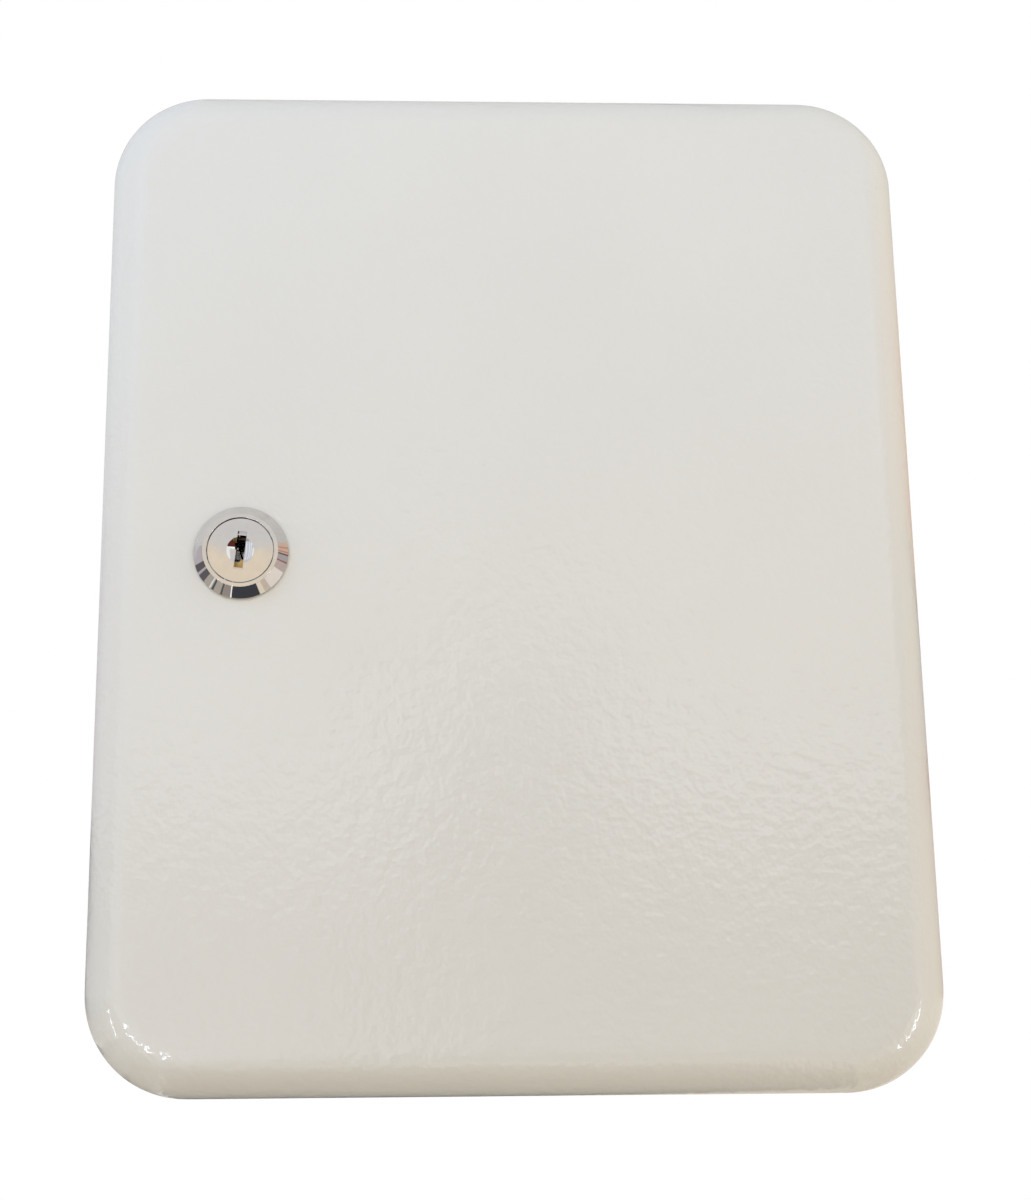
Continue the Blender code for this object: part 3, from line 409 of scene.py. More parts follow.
# Narrow posts that stand in front of the boards: name, first hour, last hour, colour
POSTS = (
    ("grey_post", 0.70, 0.76, (0.30, 0.29, 0.28)),
    ("red_post", 2.30, 2.36, (0.62, 0.28, 0.22)),
    ("red_post_low", 2.50, 2.56, (0.60, 0.25, 0.20)),
    ("black_post", 2.62, 2.69, (0.12, 0.10, 0.10)),
    ("wine_post", 2.98, 3.06, (0.35, 0.15, 0.15)),
    ("white_post", 6.58, 6.65, (1.1, 1.1, 1.1)),
    ("dark_post_low", 7.08, 7.16, (0.10, 0.10, 0.09)),
    ("dark_post", 7.55, 7.66, (0.10, 0.11, 0.10)),
    ("pale_post", 7.72, 7.80, (0.85, 0.86, 0.84)),
    ("mauve_post", 8.50, 8.62, (0.52, 0.47, 0.50)),
)
POST_DISTANCE = 0.50
BOARD_DISTANCE = 0.52
BOARD_NEAR_TILT = 50
BOARD_FAR_TILT = 170
BOARD_TILT_STEP = 15
BOARD_HOUR_STEP = 0.25
HOUR_ANGLE = 30


def link(thing):
    bpy.context.scene.collection.objects.link(thing)
    return thing


def arc(radius, start, end, steps, centre=(0, 0)):
    """Points of an arc."""
    angles = [start + (end - start) * step / steps for step in range(steps + 1)]
    return [(centre[0] + radius * math.cos(a), centre[1] + radius * math.sin(a)) for a in angles]


def moved(points, x, z):
    """The same points, shifted."""
    return [(a + x, b + z) for a, b in points]


def circle(radius, steps=LOCK_STEPS):
    """Points of a circle."""
    return arc(radius, 0, 2 * math.pi * (steps - 1) / steps, steps - 1)


def with_flats(points, half_flats):
    """The same points, cut off at two flats on the left and right."""
    return [(max(-half_flats, min(half_flats, x)), z) for x, z in points]


def polygon(half_flats, sides, steps):
    """Points of a regular polygon, one on each ray that a circle's points lie on."""
    points = []
    sector_angle = 2 * math.pi / sides
    for step in range(steps):
        angle = 2 * math.pi * step / steps
        from_flat = (angle + sector_angle / 2) % sector_angle - sector_angle / 2
        reach = half_flats / math.cos(from_flat)
        points.append((reach * math.cos(angle), reach * math.sin(angle)))
    return points


def rectangle(low_a, high_a, low_b, high_b):
    """The four corners of a rectangle."""
    return [(low_a, low_b), (high_a, low_b), (high_a, high_b), (low_a, high_b)]


def rounded_outline(half_width, half_height, radius, steps=CORNER_STEPS):
    """Points of a rectangle with round corners, round the origin."""
    points = []
    for corner, (side_x, side_z) in enumerate(((1, 1), (-1, 1), (-1, -1), (1, -1))):
        start = math.pi / 2 * corner
        centre = (side_x * (half_width - radius), side_z * (half_height - radius))
        points += arc(radius, start, start + math.pi / 2, steps, centre)
    return points


def as_mesh(builder, outwards=True):
    """A mesh from a bmesh, with its faces turned outwards."""
    if outwards:
        bmesh.ops.recalc_face_normals(builder, faces=builder.faces)
    mesh = bpy.data.meshes.new("part")
    builder.to_mesh(mesh)
    builder.free()
    return mesh


def evaluated_mesh(holder):
    """The mesh of an object with its modifiers worked in. The object is taken out again."""
    bpy.context.view_layer.update()
    mesh = bpy.data.meshes.new_from_object(holder.evaluated_get(bpy.context.evaluated_depsgraph_get()))
    bpy.data.objects.remove(holder)
    return mesh


def loft(rings, hollow=False):
    """A solid through rings of (points, y), capped at both ends, or joined from last to first."""
    builder = bmesh.new()
    loops = [[builder.verts.new((x, y, z)) for x, z in points] for points, y in rings]
    for first, second in zip(loops, loops[1:] + loops[:1] if hollow else loops[1:]):
        for i, corner in enumerate(first):
            after = (i + 1) % len(first)
            builder.faces.new((corner, first[after], second[after], second[i]))
    if not hollow:
        builder.faces.new(loops[0])
        builder.faces.new(loops[-1])
    return as_mesh(builder)


def prism(points, low, high, axis="Y"):
    """A straight solid from an outline and its two ends, along an axis."""
    place = {
        "X": lambda a, b, along: (along, a, b),
        "Y": lambda a, b, along: (a, along, b),
        "Z": lambda a, b, along: (a, b, along),
    }[axis]
    builder = bmesh.new()
    ends = [[builder.verts.new(place(a, b, along)) for a, b in points] for along in (low, high)]
    builder.faces.new(ends[0])
    builder.faces.new(ends[1])
    for i in range(len(points)):
        after = (i + 1) % len(points)
        builder.faces.new((ends[0][i], ends[0][after], ends[1][after], ends[1][i]))
    return as_mesh(builder)


def through(points, low, high):
    """A straight cutter along y that runs past both ends."""
    return prism(points, low - CUT_OVERRUN, high + CUT_OVERRUN)


def combined(base, tool, operation):
    """The mesh that a Boolean makes of two meshes."""
    base_object, tool_object = (link(bpy.data.objects.new("holder", mesh)) for mesh in (base, tool))
    modifier = base_object.modifiers.new("combine", "BOOLEAN")
    modifier.operation = operation
    modifier.object = tool_object
    result = evaluated_mesh(base_object)
    bpy.data.objects.remove(tool_object)
    return result


def cut(mesh, *tools):
    """The mesh less each of the tools."""
    for tool in tools:
        mesh = combined(mesh, tool, "DIFFERENCE")
    return mesh


def softened(mesh, width):
    """The mesh with its sharp edges rounded over by a small width."""
    builder = bmesh.new()
    builder.from_mesh(mesh)
    sharp = [edge for edge in builder.edges if edge.is_manifold and edge.calc_face_angle() > SOFTENED_ANGLE]
    bmesh.ops.bevel(
        builder, geom=sharp, offset=width, segments=2, affect="EDGES", profile=0.5, clamp_overlap=True
    )
    return as_mesh(builder, outwards=False)


def dressed(mesh, finish):
    """The mesh with one finish."""
    mesh.materials.clear()
    mesh.materials.append(finish)
    return mesh


def fillet_path(points):
    """A path of straight runs. At a point with a third value, its corner is an arc of that radius."""
    path = [Vector(points[0][:2])]
    for before, corner, after in zip(points, points[1:], points[2:]):
        middle = Vector(corner[:2])
        if len(corner) == 2:
            path.append(middle)
            continue
        back = (Vector(before[:2]) - middle).normalized()
        ahead = (Vector(after[:2]) - middle).normalized()
        half = back.angle(ahead) / 2
        centre = middle + (back + ahead).normalized() * corner[2] / math.sin(half)
        reach = corner[2] / math.tan(half)
        first = (middle + back * reach - centre).normalized().to_3d()
        last = (middle + ahead * reach - centre).normalized().to_3d()
        shares = [step / BEND_STEPS for step in range(BEND_STEPS + 1)]
        path += [centre + corner[2] * first.slerp(last, share).to_2d() for share in shares]
    return path + [Vector(points[-1][:2])]


def thickened(path, sheet):
    """The closed outline of a sheet that follows a path in its middle."""
    left, right = [], []
    for i, point in enumerate(path):
        along = (path[min(i + 1, len(path) - 1)] - path[max(i - 1, 0)]).normalized()
        aside = Vector((-along.y, along.x)) * sheet / 2
        left.append(tuple(point + aside))
        right.append(tuple(point - aside))
    return left + right[::-1]


def shaded(mesh, *finishes):
    """The mesh shaded smooth except at its edges, with its flat faces kept flat, and with its finishes."""
    mesh.shade_smooth()
    mesh.set_sharp_from_angle(angle=SMOOTH_ANGLE)
    for finish in finishes:
        mesh.materials.append(finish)
    holder = link(bpy.data.objects.new("holder", mesh))
    modifier = holder.modifiers.new("flatten", "WEIGHTED_NORMAL")
    modifier.keep_sharp = True
    return evaluated_mesh(holder)


def piece(name, mesh, body, slot, nodes, *finishes):
    """One piece of the cabinet that rides on a body and stands for nodes of the frame."""
    mesh.materials.clear()
    mesh = shaded(mesh, *finishes)
    mesh.name = name
    thing = link(bpy.data.objects.new(name, mesh))
    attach(thing, body)
    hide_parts(*nodes)


def add_node(tree, kind, inputs=None, **settings):
    """A node with its settings, and with its inputs given as values or as other nodes' outputs."""
    made = tree.nodes.new(kind)
    for label, value in settings.items():
        setattr(made, label, value)
    for label, value in (inputs or {}).items():
        if isinstance(value, bpy.types.NodeSocket):
            tree.links.new(value, made.inputs[label])
        else:
            made.inputs[label].default_value = value
    return made


def mixed_colour(tree, factor, *colours):
    """A colour between two, by a factor."""
    inputs = {0: factor}
    for socket, colour in zip((MIX_FIRST, MIX_SECOND), colours):
        inputs[socket] = colour if isinstance(colour, bpy.types.NodeSocket) else (*colour, 1)
    return add_node(tree, "ShaderNodeMix", inputs, data_type="RGBA").outputs[MIX_RESULT]


def grid_of_copies_tree():
    """Copies of a piece in rows and columns: rivets, hooks, knuckles, ruled lines and weld ribs."""
    tree = bpy.data.node_groups.new("grid_of_copies", "GeometryNodeTree")
    tree.interface.new_socket("Geometry", in_out="OUTPUT", socket_type="NodeSocketGeometry")
    for label, kind in (
        ("Geometry", "Geometry"), ("Columns", "Int"), ("Column Step", "Vector"), ("Rows", "Int"),
        ("Row Step", "Vector"), ("First", "Vector"), ("Material", "Material"),
    ):
        tree.interface.new_socket(label, in_out="INPUT", socket_type="NodeSocket" + kind)
    entry = tree.nodes.new("NodeGroupInput").outputs
    source = entry["Geometry"]
    for count, step in (("Columns", "Column Step"), ("Rows", "Row Step")):
        line = add_node(tree, "GeometryNodeMeshLine", {"Count": entry[count], "Offset": entry[step]})
        points = line.outputs["Mesh"]
        copies = add_node(tree, "GeometryNodeInstanceOnPoints", {"Points": points, "Instance": source})
        source = copies.outputs["Instances"]
    tree.links.new(entry["First"], line.inputs["Start Location"])
    real = add_node(tree, "GeometryNodeRealizeInstances", {"Geometry": source}).outputs["Geometry"]
    inputs = {"Geometry": real, "Material": entry["Material"]}
    painted = add_node(tree, "GeometryNodeSetMaterial", inputs).outputs["Geometry"]
    add_node(tree, "NodeGroupOutput", {"Geometry": painted})
    return tree


def repeated(grid, mesh, finish, first, columns=(1, 0), rows=(1, 0)):
    """Copies of a mesh by the tree: columns along x and rows along z, each as a count and a step."""
    holder = link(bpy.data.objects.new("holder", mesh))
    modifier = holder.modifiers.new("repeat", "NODES")
    modifier.node_group = grid
    sizes = {
        "Columns": columns[0], "Column Step": (columns[1], 0, 0),
        "Rows": rows[0], "Row Step": (0, 0, rows[1]), "First": first, "Material": finish,
    }
    for item in grid.interface.items_tree:
        if item.name in sizes:
            modifier[item.identifier] = sizes[item.name]
    return evaluated_mesh(holder)


def joined(meshes):
    """One mesh from several, each of which keeps its own finish."""
    finishes = []
    builder = bmesh.new()
    for mesh in meshes:
        start = len(builder.faces)
        builder.from_mesh(mesh)
        builder.faces.ensure_lookup_table()
        own = list(mesh.materials) or [None]
        finishes += [each for each in own if each not in finishes]
        for face in builder.faces[start:]:
            face.material_index = finishes.index(own[face.material_index])
    result = as_mesh(builder, outwards=False)
    for each in finishes:
        result.materials.append(each)
    return result


def sheet_for(node, corner):
    """A flat sheet with round corners that fills a node's box, with that box."""
    low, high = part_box(node)
    outline = rounded_outline((high.x - low.x) / 2, (high.z - low.z) / 2, corner, BEND_STEPS)
    outline = moved(outline, (low.x + high.x) / 2, (low.z + high.z) / 2)
    return prism(outline, low.y, high.y), low, high


def pan_ring(inset, y):
    """One ring of a pan, inset from the cabinet's outline."""
    return rounded_outline(HALF_WIDTH - inset, HALF_HEIGHT - inset, CORNER_RADIUS - inset), y


def quarter(steps):
    """Angles of a quarter turn."""
    return [math.pi / 2 * step / steps for step in range(steps + 1)]


def sheet_side(face_y, side, edge_radius, offset):
    """Rings of one side of the sheet, from its flat middle over the round edge."""
    bend = edge_radius - offset
    rings = [pan_ring(edge_radius + FACE_MARGIN, face_y + side * offset)]
    for a in quarter(EDGE_STEPS):
        inset = offset + bend * (1 - math.sin(a))
        rings.append(pan_ring(inset, face_y + side * (offset + bend * (1 - math.cos(a)))))
    return rings


def open_rim(rim_y, side):
    """The rim of an open pan, rounded on both sides."""
    outer = [(RIM_ROUND * (1 - math.cos(a)), RIM_ROUND * (1 - math.sin(a))) for a in quarter(RIM_STEPS)]
    inner = [(SHEET - back, inset) for inset, back in outer]
    return [pan_ring(inset, rim_y - side * back) for inset, back in outer + inner]


def flanged_rim(rim_y, side):
    """A rim folded inwards to a flange whose mouth has corners of its own."""
    def mouth(grow, back):
        inset = SHEET + FLANGE_WIDTH - grow
        outline = rounded_outline(HALF_WIDTH - inset, HALF_HEIGHT - inset, FLANGE_INNER_RADIUS + grow)
        return outline, rim_y - side * back

    turns = [(1 - math.cos(a), 1 - math.sin(a)) for a in quarter(RIM_STEPS)]
    fold = [pan_ring(FOLD_RADIUS * inset, rim_y - side * FOLD_RADIUS * back) for inset, back in turns]
    front = [mouth(RIM_ROUND * grow, RIM_ROUND * back) for back, grow in turns]
    rear = [mouth(RIM_ROUND * grow, SHEET - RIM_ROUND * back) for grow, back in turns]
    return fold + front + rear + [pan_ring(SHEET, rim_y - side * SHEET)]


def drawn_pan(face_y, rim_y, edge_radius, rim):
    """A pan drawn from one sheet, with round corners and a round edge."""
    side = math.copysign(1, rim_y - face_y)
    outer = sheet_side(face_y, side, edge_radius, 0)
    inner = sheet_side(face_y, side, edge_radius, SHEET)
    return loft(outer + rim(rim_y, side) + inner[::-1])


def hinge_notch(inner_x):
    """The room that the hinge's barrel takes out of a side wall."""
    shape = rectangle(inner_x, HALF_WIDTH + CUT_OVERRUN, SEAM_Y - BARREL_REACH, SEAM_Y + BARREL_REACH)
    low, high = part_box("hinge_pin")
    return prism(shape, low.z - KNUCKLE_GAP, high.z + KNUCKLE_GAP, "Z")


def drilled_holes(radius, places, near_y, far_y):
    """Round cutters for holes whose edges are broken on both sides of the sheet."""
    wide = circle(radius + HOLE_CHAMFER + CUT_OVERRUN, HOLE_STEPS)
    narrow = circle(radius, HOLE_STEPS)
    rings = (
        (wide, near_y - CUT_OVERRUN), (narrow, near_y + HOLE_CHAMFER),
        (narrow, far_y - HOLE_CHAMFER), (wide, far_y + CUT_OVERRUN),
    )
    return joined([loft([(moved(ring, x, z), y) for ring, y in rings]) for x, z in places])


def case_pan(paint):
    """The case, with its four wall holes and ten rivet holes."""
    upper = (RAIL_HEIGHTS[0] + RAIL_HEIGHTS[1]) / 2
    lower = RAIL_HEIGHTS[-1] - RAIL_HALF_HEIGHT - LOWER_WALL_HOLE_DROP
    wall_x = HALF_WIDTH - WALL_HOLE_INSET
    wall_places = [(side * wall_x, z) for z in (upper, lower) for side in (-1, 1)]
    rivet_places = [(side * RIVET_X, z) for z in RAIL_HEIGHTS for side in (-1, 1)]
    mesh = cut(
        drawn_pan(0, CASE_RIM_Y, CASE_EDGE_RADIUS, flanged_rim),
        hinge_notch(HALF_WIDTH - SHEET - FLANGE_WIDTH - CUT_OVERRUN),
        drilled_holes(WALL_HOLE_RADIUS, wall_places, -SHEET, 0),
        drilled_holes(RIVET_RADIUS + SEAT_GAP, rivet_places, -SHEET, 0),
    )
    piece("case_pan", mesh, "case", "paint", ["case_shell"], paint)


def door_pan(paint):
    """The door, with its soft front edge and the hole that the lock passes through."""
    hole = with_flats(circle(BARREL_RADIUS + DOOR_HOLE_CLEARANCE, HOLE_STEPS), DOOR_HOLE_HALF_FLATS)
    mesh = cut(
        drawn_pan(DOOR_FACE_Y, DOOR_RIM_Y, DOOR_EDGE_RADIUS, open_rim),
        hinge_notch(LEAF_INNER_X),
        through(moved(hole, LOCK_AXIS.x, LOCK_AXIS.z), DOOR_FACE_Y, DOOR_FACE_Y + SHEET),
    )
    piece("door_pan", mesh, "door", "paint", ["door_shell"], paint)


def hinge_leaf(name, node, body, side, first_knuckle, grid, paint):
    """A leaf of the continuous hinge, with a rolled knuckle at every second place."""
    low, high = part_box(node)
    tip_y = high.y if side > 0 else low.y
    root_y = SEAM_Y + side * BARREL_REACH
    plate = prism(rectangle(LEAF_INNER_X, LEAF_OUTER_X, root_y, tip_y), low.z, high.z, "Z")

    def roll(radius):
        angles = [math.pi - KNUCKLE_WRAP * step / KNUCKLE_STEPS for step in range(KNUCKLE_STEPS + 1)]
        return [(HINGE_AXIS.x + radius * math.cos(a), SEAM_Y - side * radius * math.sin(a)) for a in angles]

    outline = [(LEAF_INNER_X, root_y)] + roll(KNUCKLE_RADIUS)
    outline += roll(KNUCKLE_RADIUS - HINGE_SHEET)[::-1] + [(LEAF_OUTER_X, root_y)]
    half = (KNUCKLE_PITCH - KNUCKLE_GAP) / 2
    knuckle = softened(prism(outline, -half, half, "Z"), KNUCKLE_SOFTENING)
    first = (0, 0, low.z + (first_knuckle + 0.5) * KNUCKLE_PITCH)
    knuckles = repeated(grid, knuckle, paint, first, rows=(KNUCKLE_COUNT // 2, 2 * KNUCKLE_PITCH))
    piece(name, joined([dressed(plate, paint), knuckles]), body, "paint", [node], paint)


def pin(zinc):
    """The hinge's pin, with round ends."""
    low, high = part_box("hinge_pin")
    ends = [(PIN_RADIUS * math.sin(a), PIN_CROWN * (1 - math.cos(a))) for a in quarter(RIM_STEPS)[1:]]
    rings = [(circle(radius, HOLE_STEPS), low.z + back) for radius, back in ends]
    rings += [(circle(radius, HOLE_STEPS), high.z - back) for radius, back in ends[::-1]]
    mesh = loft(rings)
    upright = Matrix(((1, 0, 0), (0, 0, 1), (0, 1, 0))).to_4x4()
    mesh.transform(Matrix.Translation((HINGE_AXIS.x, SEAM_Y, 0)) @ upright)
    mesh.flip_normals()
    piece("pin", mesh, "case", "zinc", ["hinge_pin"], zinc)


def hook_places():
    """The middle of each hook along a rail."""
    half = RAIL_FACE_HALF - HOOK_END_MARGIN
    return [half * (2 * hook / (HOOK_COUNT - 1) - 1) for hook in range(HOOK_COUNT)]


def hook_mesh():
    """One hook: a tongue that leaves the rail's face and turns up, with its tip's corners rounded off."""
    tongue_z = HOOK_FOOT_HEIGHT - RAIL_HALF_HEIGHT - RAIL_SHEET / 2
    root_y = RAIL_FACE_Y + RAIL_SHEET / 2
    tip_y = RAIL_FACE_Y - HOOK_REACH + RAIL_SHEET / 2
    top_z = tongue_z - RAIL_SHEET / 2 + HOOK_TIP
    path = fillet_path([(root_y, tongue_z), (tip_y, tongue_z, HOOK_BEND_RADIUS), (tip_y, top_z)])
    mesh = prism(thickened(path, RAIL_SHEET), -HOOK_WIDTH / 2, HOOK_WIDTH / 2, "X")
    builder = bmesh.new()
    builder.from_mesh(mesh)
    near = RAIL_SHEET / 4
    corners = [
        edge for edge in builder.edges
        if all(v.co.z > top_z - near and abs(v.co.x) > HOOK_WIDTH / 2 - near for v in edge.verts)
    ]
    bmesh.ops.bevel(
        builder, geom=corners, offset=HOOK_TIP_ROUND, segments=BEND_STEPS, affect="EDGES", profile=0.5
    )
    return softened(as_mesh(builder, outwards=False), PRESSED_EDGE)


def hook_rails(grid, paint):
    """The rails: strips that step forward off the case, with six hooks bent out of windows in each."""
    rear_y = RAIL_TAB_REAR_Y - RAIL_SHEET / 2
    face_y = RAIL_FACE_Y + RAIL_SHEET / 2
    bend_x = RAIL_FACE_HALF + RAIL_STEP
    path = fillet_path([
        (-RAIL_HALF_LENGTH, rear_y),
        (-bend_x, rear_y, RAIL_BEND_RADIUS),
        (-RAIL_FACE_HALF, face_y, RAIL_BEND_RADIUS),
        (RAIL_FACE_HALF, face_y, RAIL_BEND_RADIUS),
        (bend_x, rear_y, RAIL_BEND_RADIUS),
        (RAIL_HALF_LENGTH, rear_y),
    ])
    outline = thickened(path, RAIL_SHEET)
    strip = softened(prism(outline, -RAIL_HALF_HEIGHT, RAIL_HALF_HEIGHT, "Z"), PRESSED_EDGE)
    half = HOOK_WIDTH / 2 + HOOK_WINDOW_CLEARANCE
    foot_z = HOOK_FOOT_HEIGHT - RAIL_HALF_HEIGHT
    opening = rectangle(-half, half, foot_z, foot_z + HOOK_WINDOW_HEIGHT)
    window = through(opening, RAIL_FACE_Y, RAIL_FACE_Y + RAIL_SHEET)
    places = hook_places()
    row = (paint, (places[0], 0, 0), (HOOK_COUNT, places[1] - places[0]))
    tab_ends = (RAIL_TAB_REAR_Y - RAIL_SHEET, RAIL_TAB_REAR_Y)
    rivet_holes = drilled_holes(RIVET_RADIUS + SEAT_GAP, ((-RIVET_X, 0), (RIVET_X, 0)), *tab_ends)
    strip = cut(strip, repeated(grid, window, *row), rivet_holes)
    rail = combined(strip, repeated(grid, hook_mesh(), *row), "UNION")
    for number, z in enumerate(RAIL_HEIGHTS, 1):
        copy = rail.copy()
        copy.transform(Matrix.Translation((0, 0, z)))
        piece(f"rail_{number}", copy, "case", "paint", [f"hook_rail_{number}"], paint)


def rail_rivets(grid, zinc):
    """Ten domed rivets, two to a rail."""
    seat = RIVET_HEAD_SEAT_Y
    post = circle(RIVET_RADIUS, RIVET_STEPS)
    rings = [(post, -SEAT_GAP), (post, seat), (circle(RIVET_HEAD_RADIUS, RIVET_STEPS), seat)]
    for step in range(RIVET_DOME_STEPS):
        angle = math.pi / 2 * step / RIVET_DOME_STEPS
        rise = RIVET_BRIM + (RIVET_HEAD_HEIGHT - RIVET_BRIM) * math.sin(angle)
        rings.append((circle(RIVET_HEAD_RADIUS * math.cos(angle), RIVET_STEPS), seat - rise))
    rows = (RAIL_COUNT, RAIL_HEIGHTS[1] - RAIL_HEIGHTS[0])
    mesh = repeated(grid, loft(rings), zinc, (-RIVET_X, 0, RAIL_HEIGHTS[0]), (2, 2 * RIVET_X), rows)
    nodes = [f"rail_rivet_{number:02d}" for number in range(1, 2 * RAIL_COUNT + 1)]
    piece("rail_rivets", mesh, "case", "zinc", nodes, zinc)


def figures(number, height, place, facing, ink):
    """A plain printed number as a thin solid. Facing 1 reads from -Y, and -1 from +Y."""
    curve = bpy.data.curves.new("figures", "FONT")
    curve.body = str(number)
    curve.size = height / FIGURE_HEIGHT_SHARE
    curve.extrude = PRINT_LIFT
    curve.resolution_u = FIGURE_CURVE_STEPS
    curve.align_x = "CENTER"
    curve.align_y = "CENTER"
    builder = bmesh.new()
    builder.from_mesh(evaluated_mesh(link(bpy.data.objects.new("figures", curve))))
    bmesh.ops.remove_doubles(builder, verts=builder.verts, dist=FIGURE_MERGE_DISTANCE)
    mesh = as_mesh(builder)
    turned = Matrix.Rotation(0 if facing > 0 else math.pi, 4, "Z")
    mesh.transform(Matrix.Translation(place) @ turned @ Matrix.Rotation(math.pi / 2, 4, "X"))
    return dressed(mesh, ink)


def number_strips(paper, ink):
    """A paper strip on each rail, with a figure over each hook and short rules between them."""
    places = hook_places()
    half = STRIP_LINE_WIDTH / 2
    for row in range(RAIL_COUNT):
        node = f"number_strip_{row + 1}"
        sheet, low, high = sheet_for(node, STRIP_CORNER)
        parts = [dressed(sheet, paper)]
        for number, x in enumerate(places, row * HOOK_COUNT + 1):
            parts.append(figures(number, STRIP_FIGURE_HEIGHT, (x, low.y, (low.z + high.z) / 2), 1, ink))
        for x, after in zip(places, places[1:]):
            between = (x + after) / 2
            rule = rectangle(between - half, between + half, low.z + STRIP_MARGIN, high.z - STRIP_MARGIN)
            parts.append(dressed(prism(rule, low.y - PRINT_LIFT, low.y + PRINT_LIFT), ink))
        mesh = joined(parts)
        piece(f"numbered_strip_{row + 1}", mesh, "case", "paper", [node], *mesh.materials[:])


def index_card(grid, paper, ink):
    """The ruled card in the door's pocket, with a numbered line for each key."""
    sheet, low, high = sheet_for("index_card", CARD_CORNER)
    print_ends = (high.y - PRINT_LIFT, high.y + PRINT_LIFT)
    column = (high.x - low.x - 2 * CARD_MARGIN - CARD_GUTTER) / CARD_COLUMNS
    column_step = column + CARD_GUTTER
    top = high.z - CARD_TOP_MARGIN
    step = (top - low.z - CARD_MARGIN) / CARD_ROWS
    half = CARD_LINE_WIDTH / 2
    first_x = low.x + CARD_MARGIN + column / 2
    upright_x = first_x + column / 2 - CARD_FIGURE_COLUMN
    line = prism(rectangle(-column / 2, column / 2, -half, half), *print_ends)
    upright = prism(rectangle(-half, half, -(top - low.z - CARD_MARGIN), 0), *print_ends)
    columns = (CARD_COLUMNS, column_step)
    parts = [
        dressed(sheet, paper),
        repeated(grid, line, ink, (first_x, 0, top), columns, (CARD_ROWS + 1, -step)),
        repeated(grid, upright, ink, (upright_x, 0, top), columns),
    ]
    for number in range(CARD_ROWS * CARD_COLUMNS):
        x = high.x - CARD_MARGIN - number // CARD_ROWS * column_step - CARD_FIGURE_COLUMN / 2
        z = top - (number % CARD_ROWS + 0.5) * step
        parts.append(figures(number + 1, CARD_FIGURE_HEIGHT, (x, high.y, z), -1, ink))
    mesh = joined(parts)
    piece("card", mesh, "door", "paper", ["index_card"], *mesh.materials[:])


def clear_pocket(grid, film):
    """The soft film pocket: two sheets welded along three sides, with a thumb notch in the inner one."""
    sheet, low, high = sheet_for("index_pocket", POCKET_CORNER)
    mouth = rectangle(low.x + POCKET_WELD, high.x - POCKET_WELD, low.z + POCKET_WELD, high.z + CUT_OVERRUN)
    notch = moved(circle(THUMB_NOTCH_RADIUS, HOLE_STEPS), (low.x + high.x) / 2, high.z)
    body = cut(
        softened(sheet, POCKET_SOFTENING),
        prism(mouth, low.y + POCKET_FILM, high.y - POCKET_FILM),
        prism(notch, high.y - 2 * POCKET_FILM, high.y + CUT_OVERRUN),
    )
    length = POCKET_WELD / 2 - WELD_RIB_WIDTH
    half = WELD_RIB_WIDTH / 2
    ends = (high.y - WELD_RIB_LIFT, high.y + WELD_RIB_LIFT)
    level = prism(rectangle(-length, length, -half, half), *ends)
    upright = prism(rectangle(-half, half, -length, length), *ends)
    spans = (high.x - low.x, high.z - low.z)
    columns, rows = (int((span - 2 * POCKET_WELD) / WELD_RIB_PITCH) for span in spans)
    side_first = (low.x + POCKET_WELD / 2, 0, low.z + POCKET_WELD)
    foot_first = (low.x + POCKET_WELD, 0, low.z + POCKET_WELD / 2)
    sides = repeated(grid, level, film, side_first, (2, high.x - low.x - POCKET_WELD), (rows, WELD_RIB_PITCH))
    foot = repeated(grid, upright, film, foot_first, (columns, WELD_RIB_PITCH))
    piece("clear_pocket", joined([dressed(body, film), sides, foot]), "door", "film", ["index_pocket"], film)


def at_lock(name, mesh, body, slot, nodes, *finishes):
    """A piece that was made round the lock's axis, put in its place."""
    mesh.transform(LOCK_PLACE)
    piece(name, mesh, body, slot, nodes, *finishes)


def thread_ring(depth):
    """A ring of the barrel's screw thread, between its two flats."""
    points = []
    for step in range(LOCK_STEPS):
        turn = step / LOCK_STEPS
        phase = (depth / THREAD_PITCH + turn) % 1
        radius = BARREL_RADIUS - THREAD_DEPTH * abs(2 * phase - 1)
        points.append((radius * math.cos(2 * math.pi * turn), radius * math.sin(2 * math.pi * turn)))
    return with_flats(points, BARREL_HALF_FLATS), depth


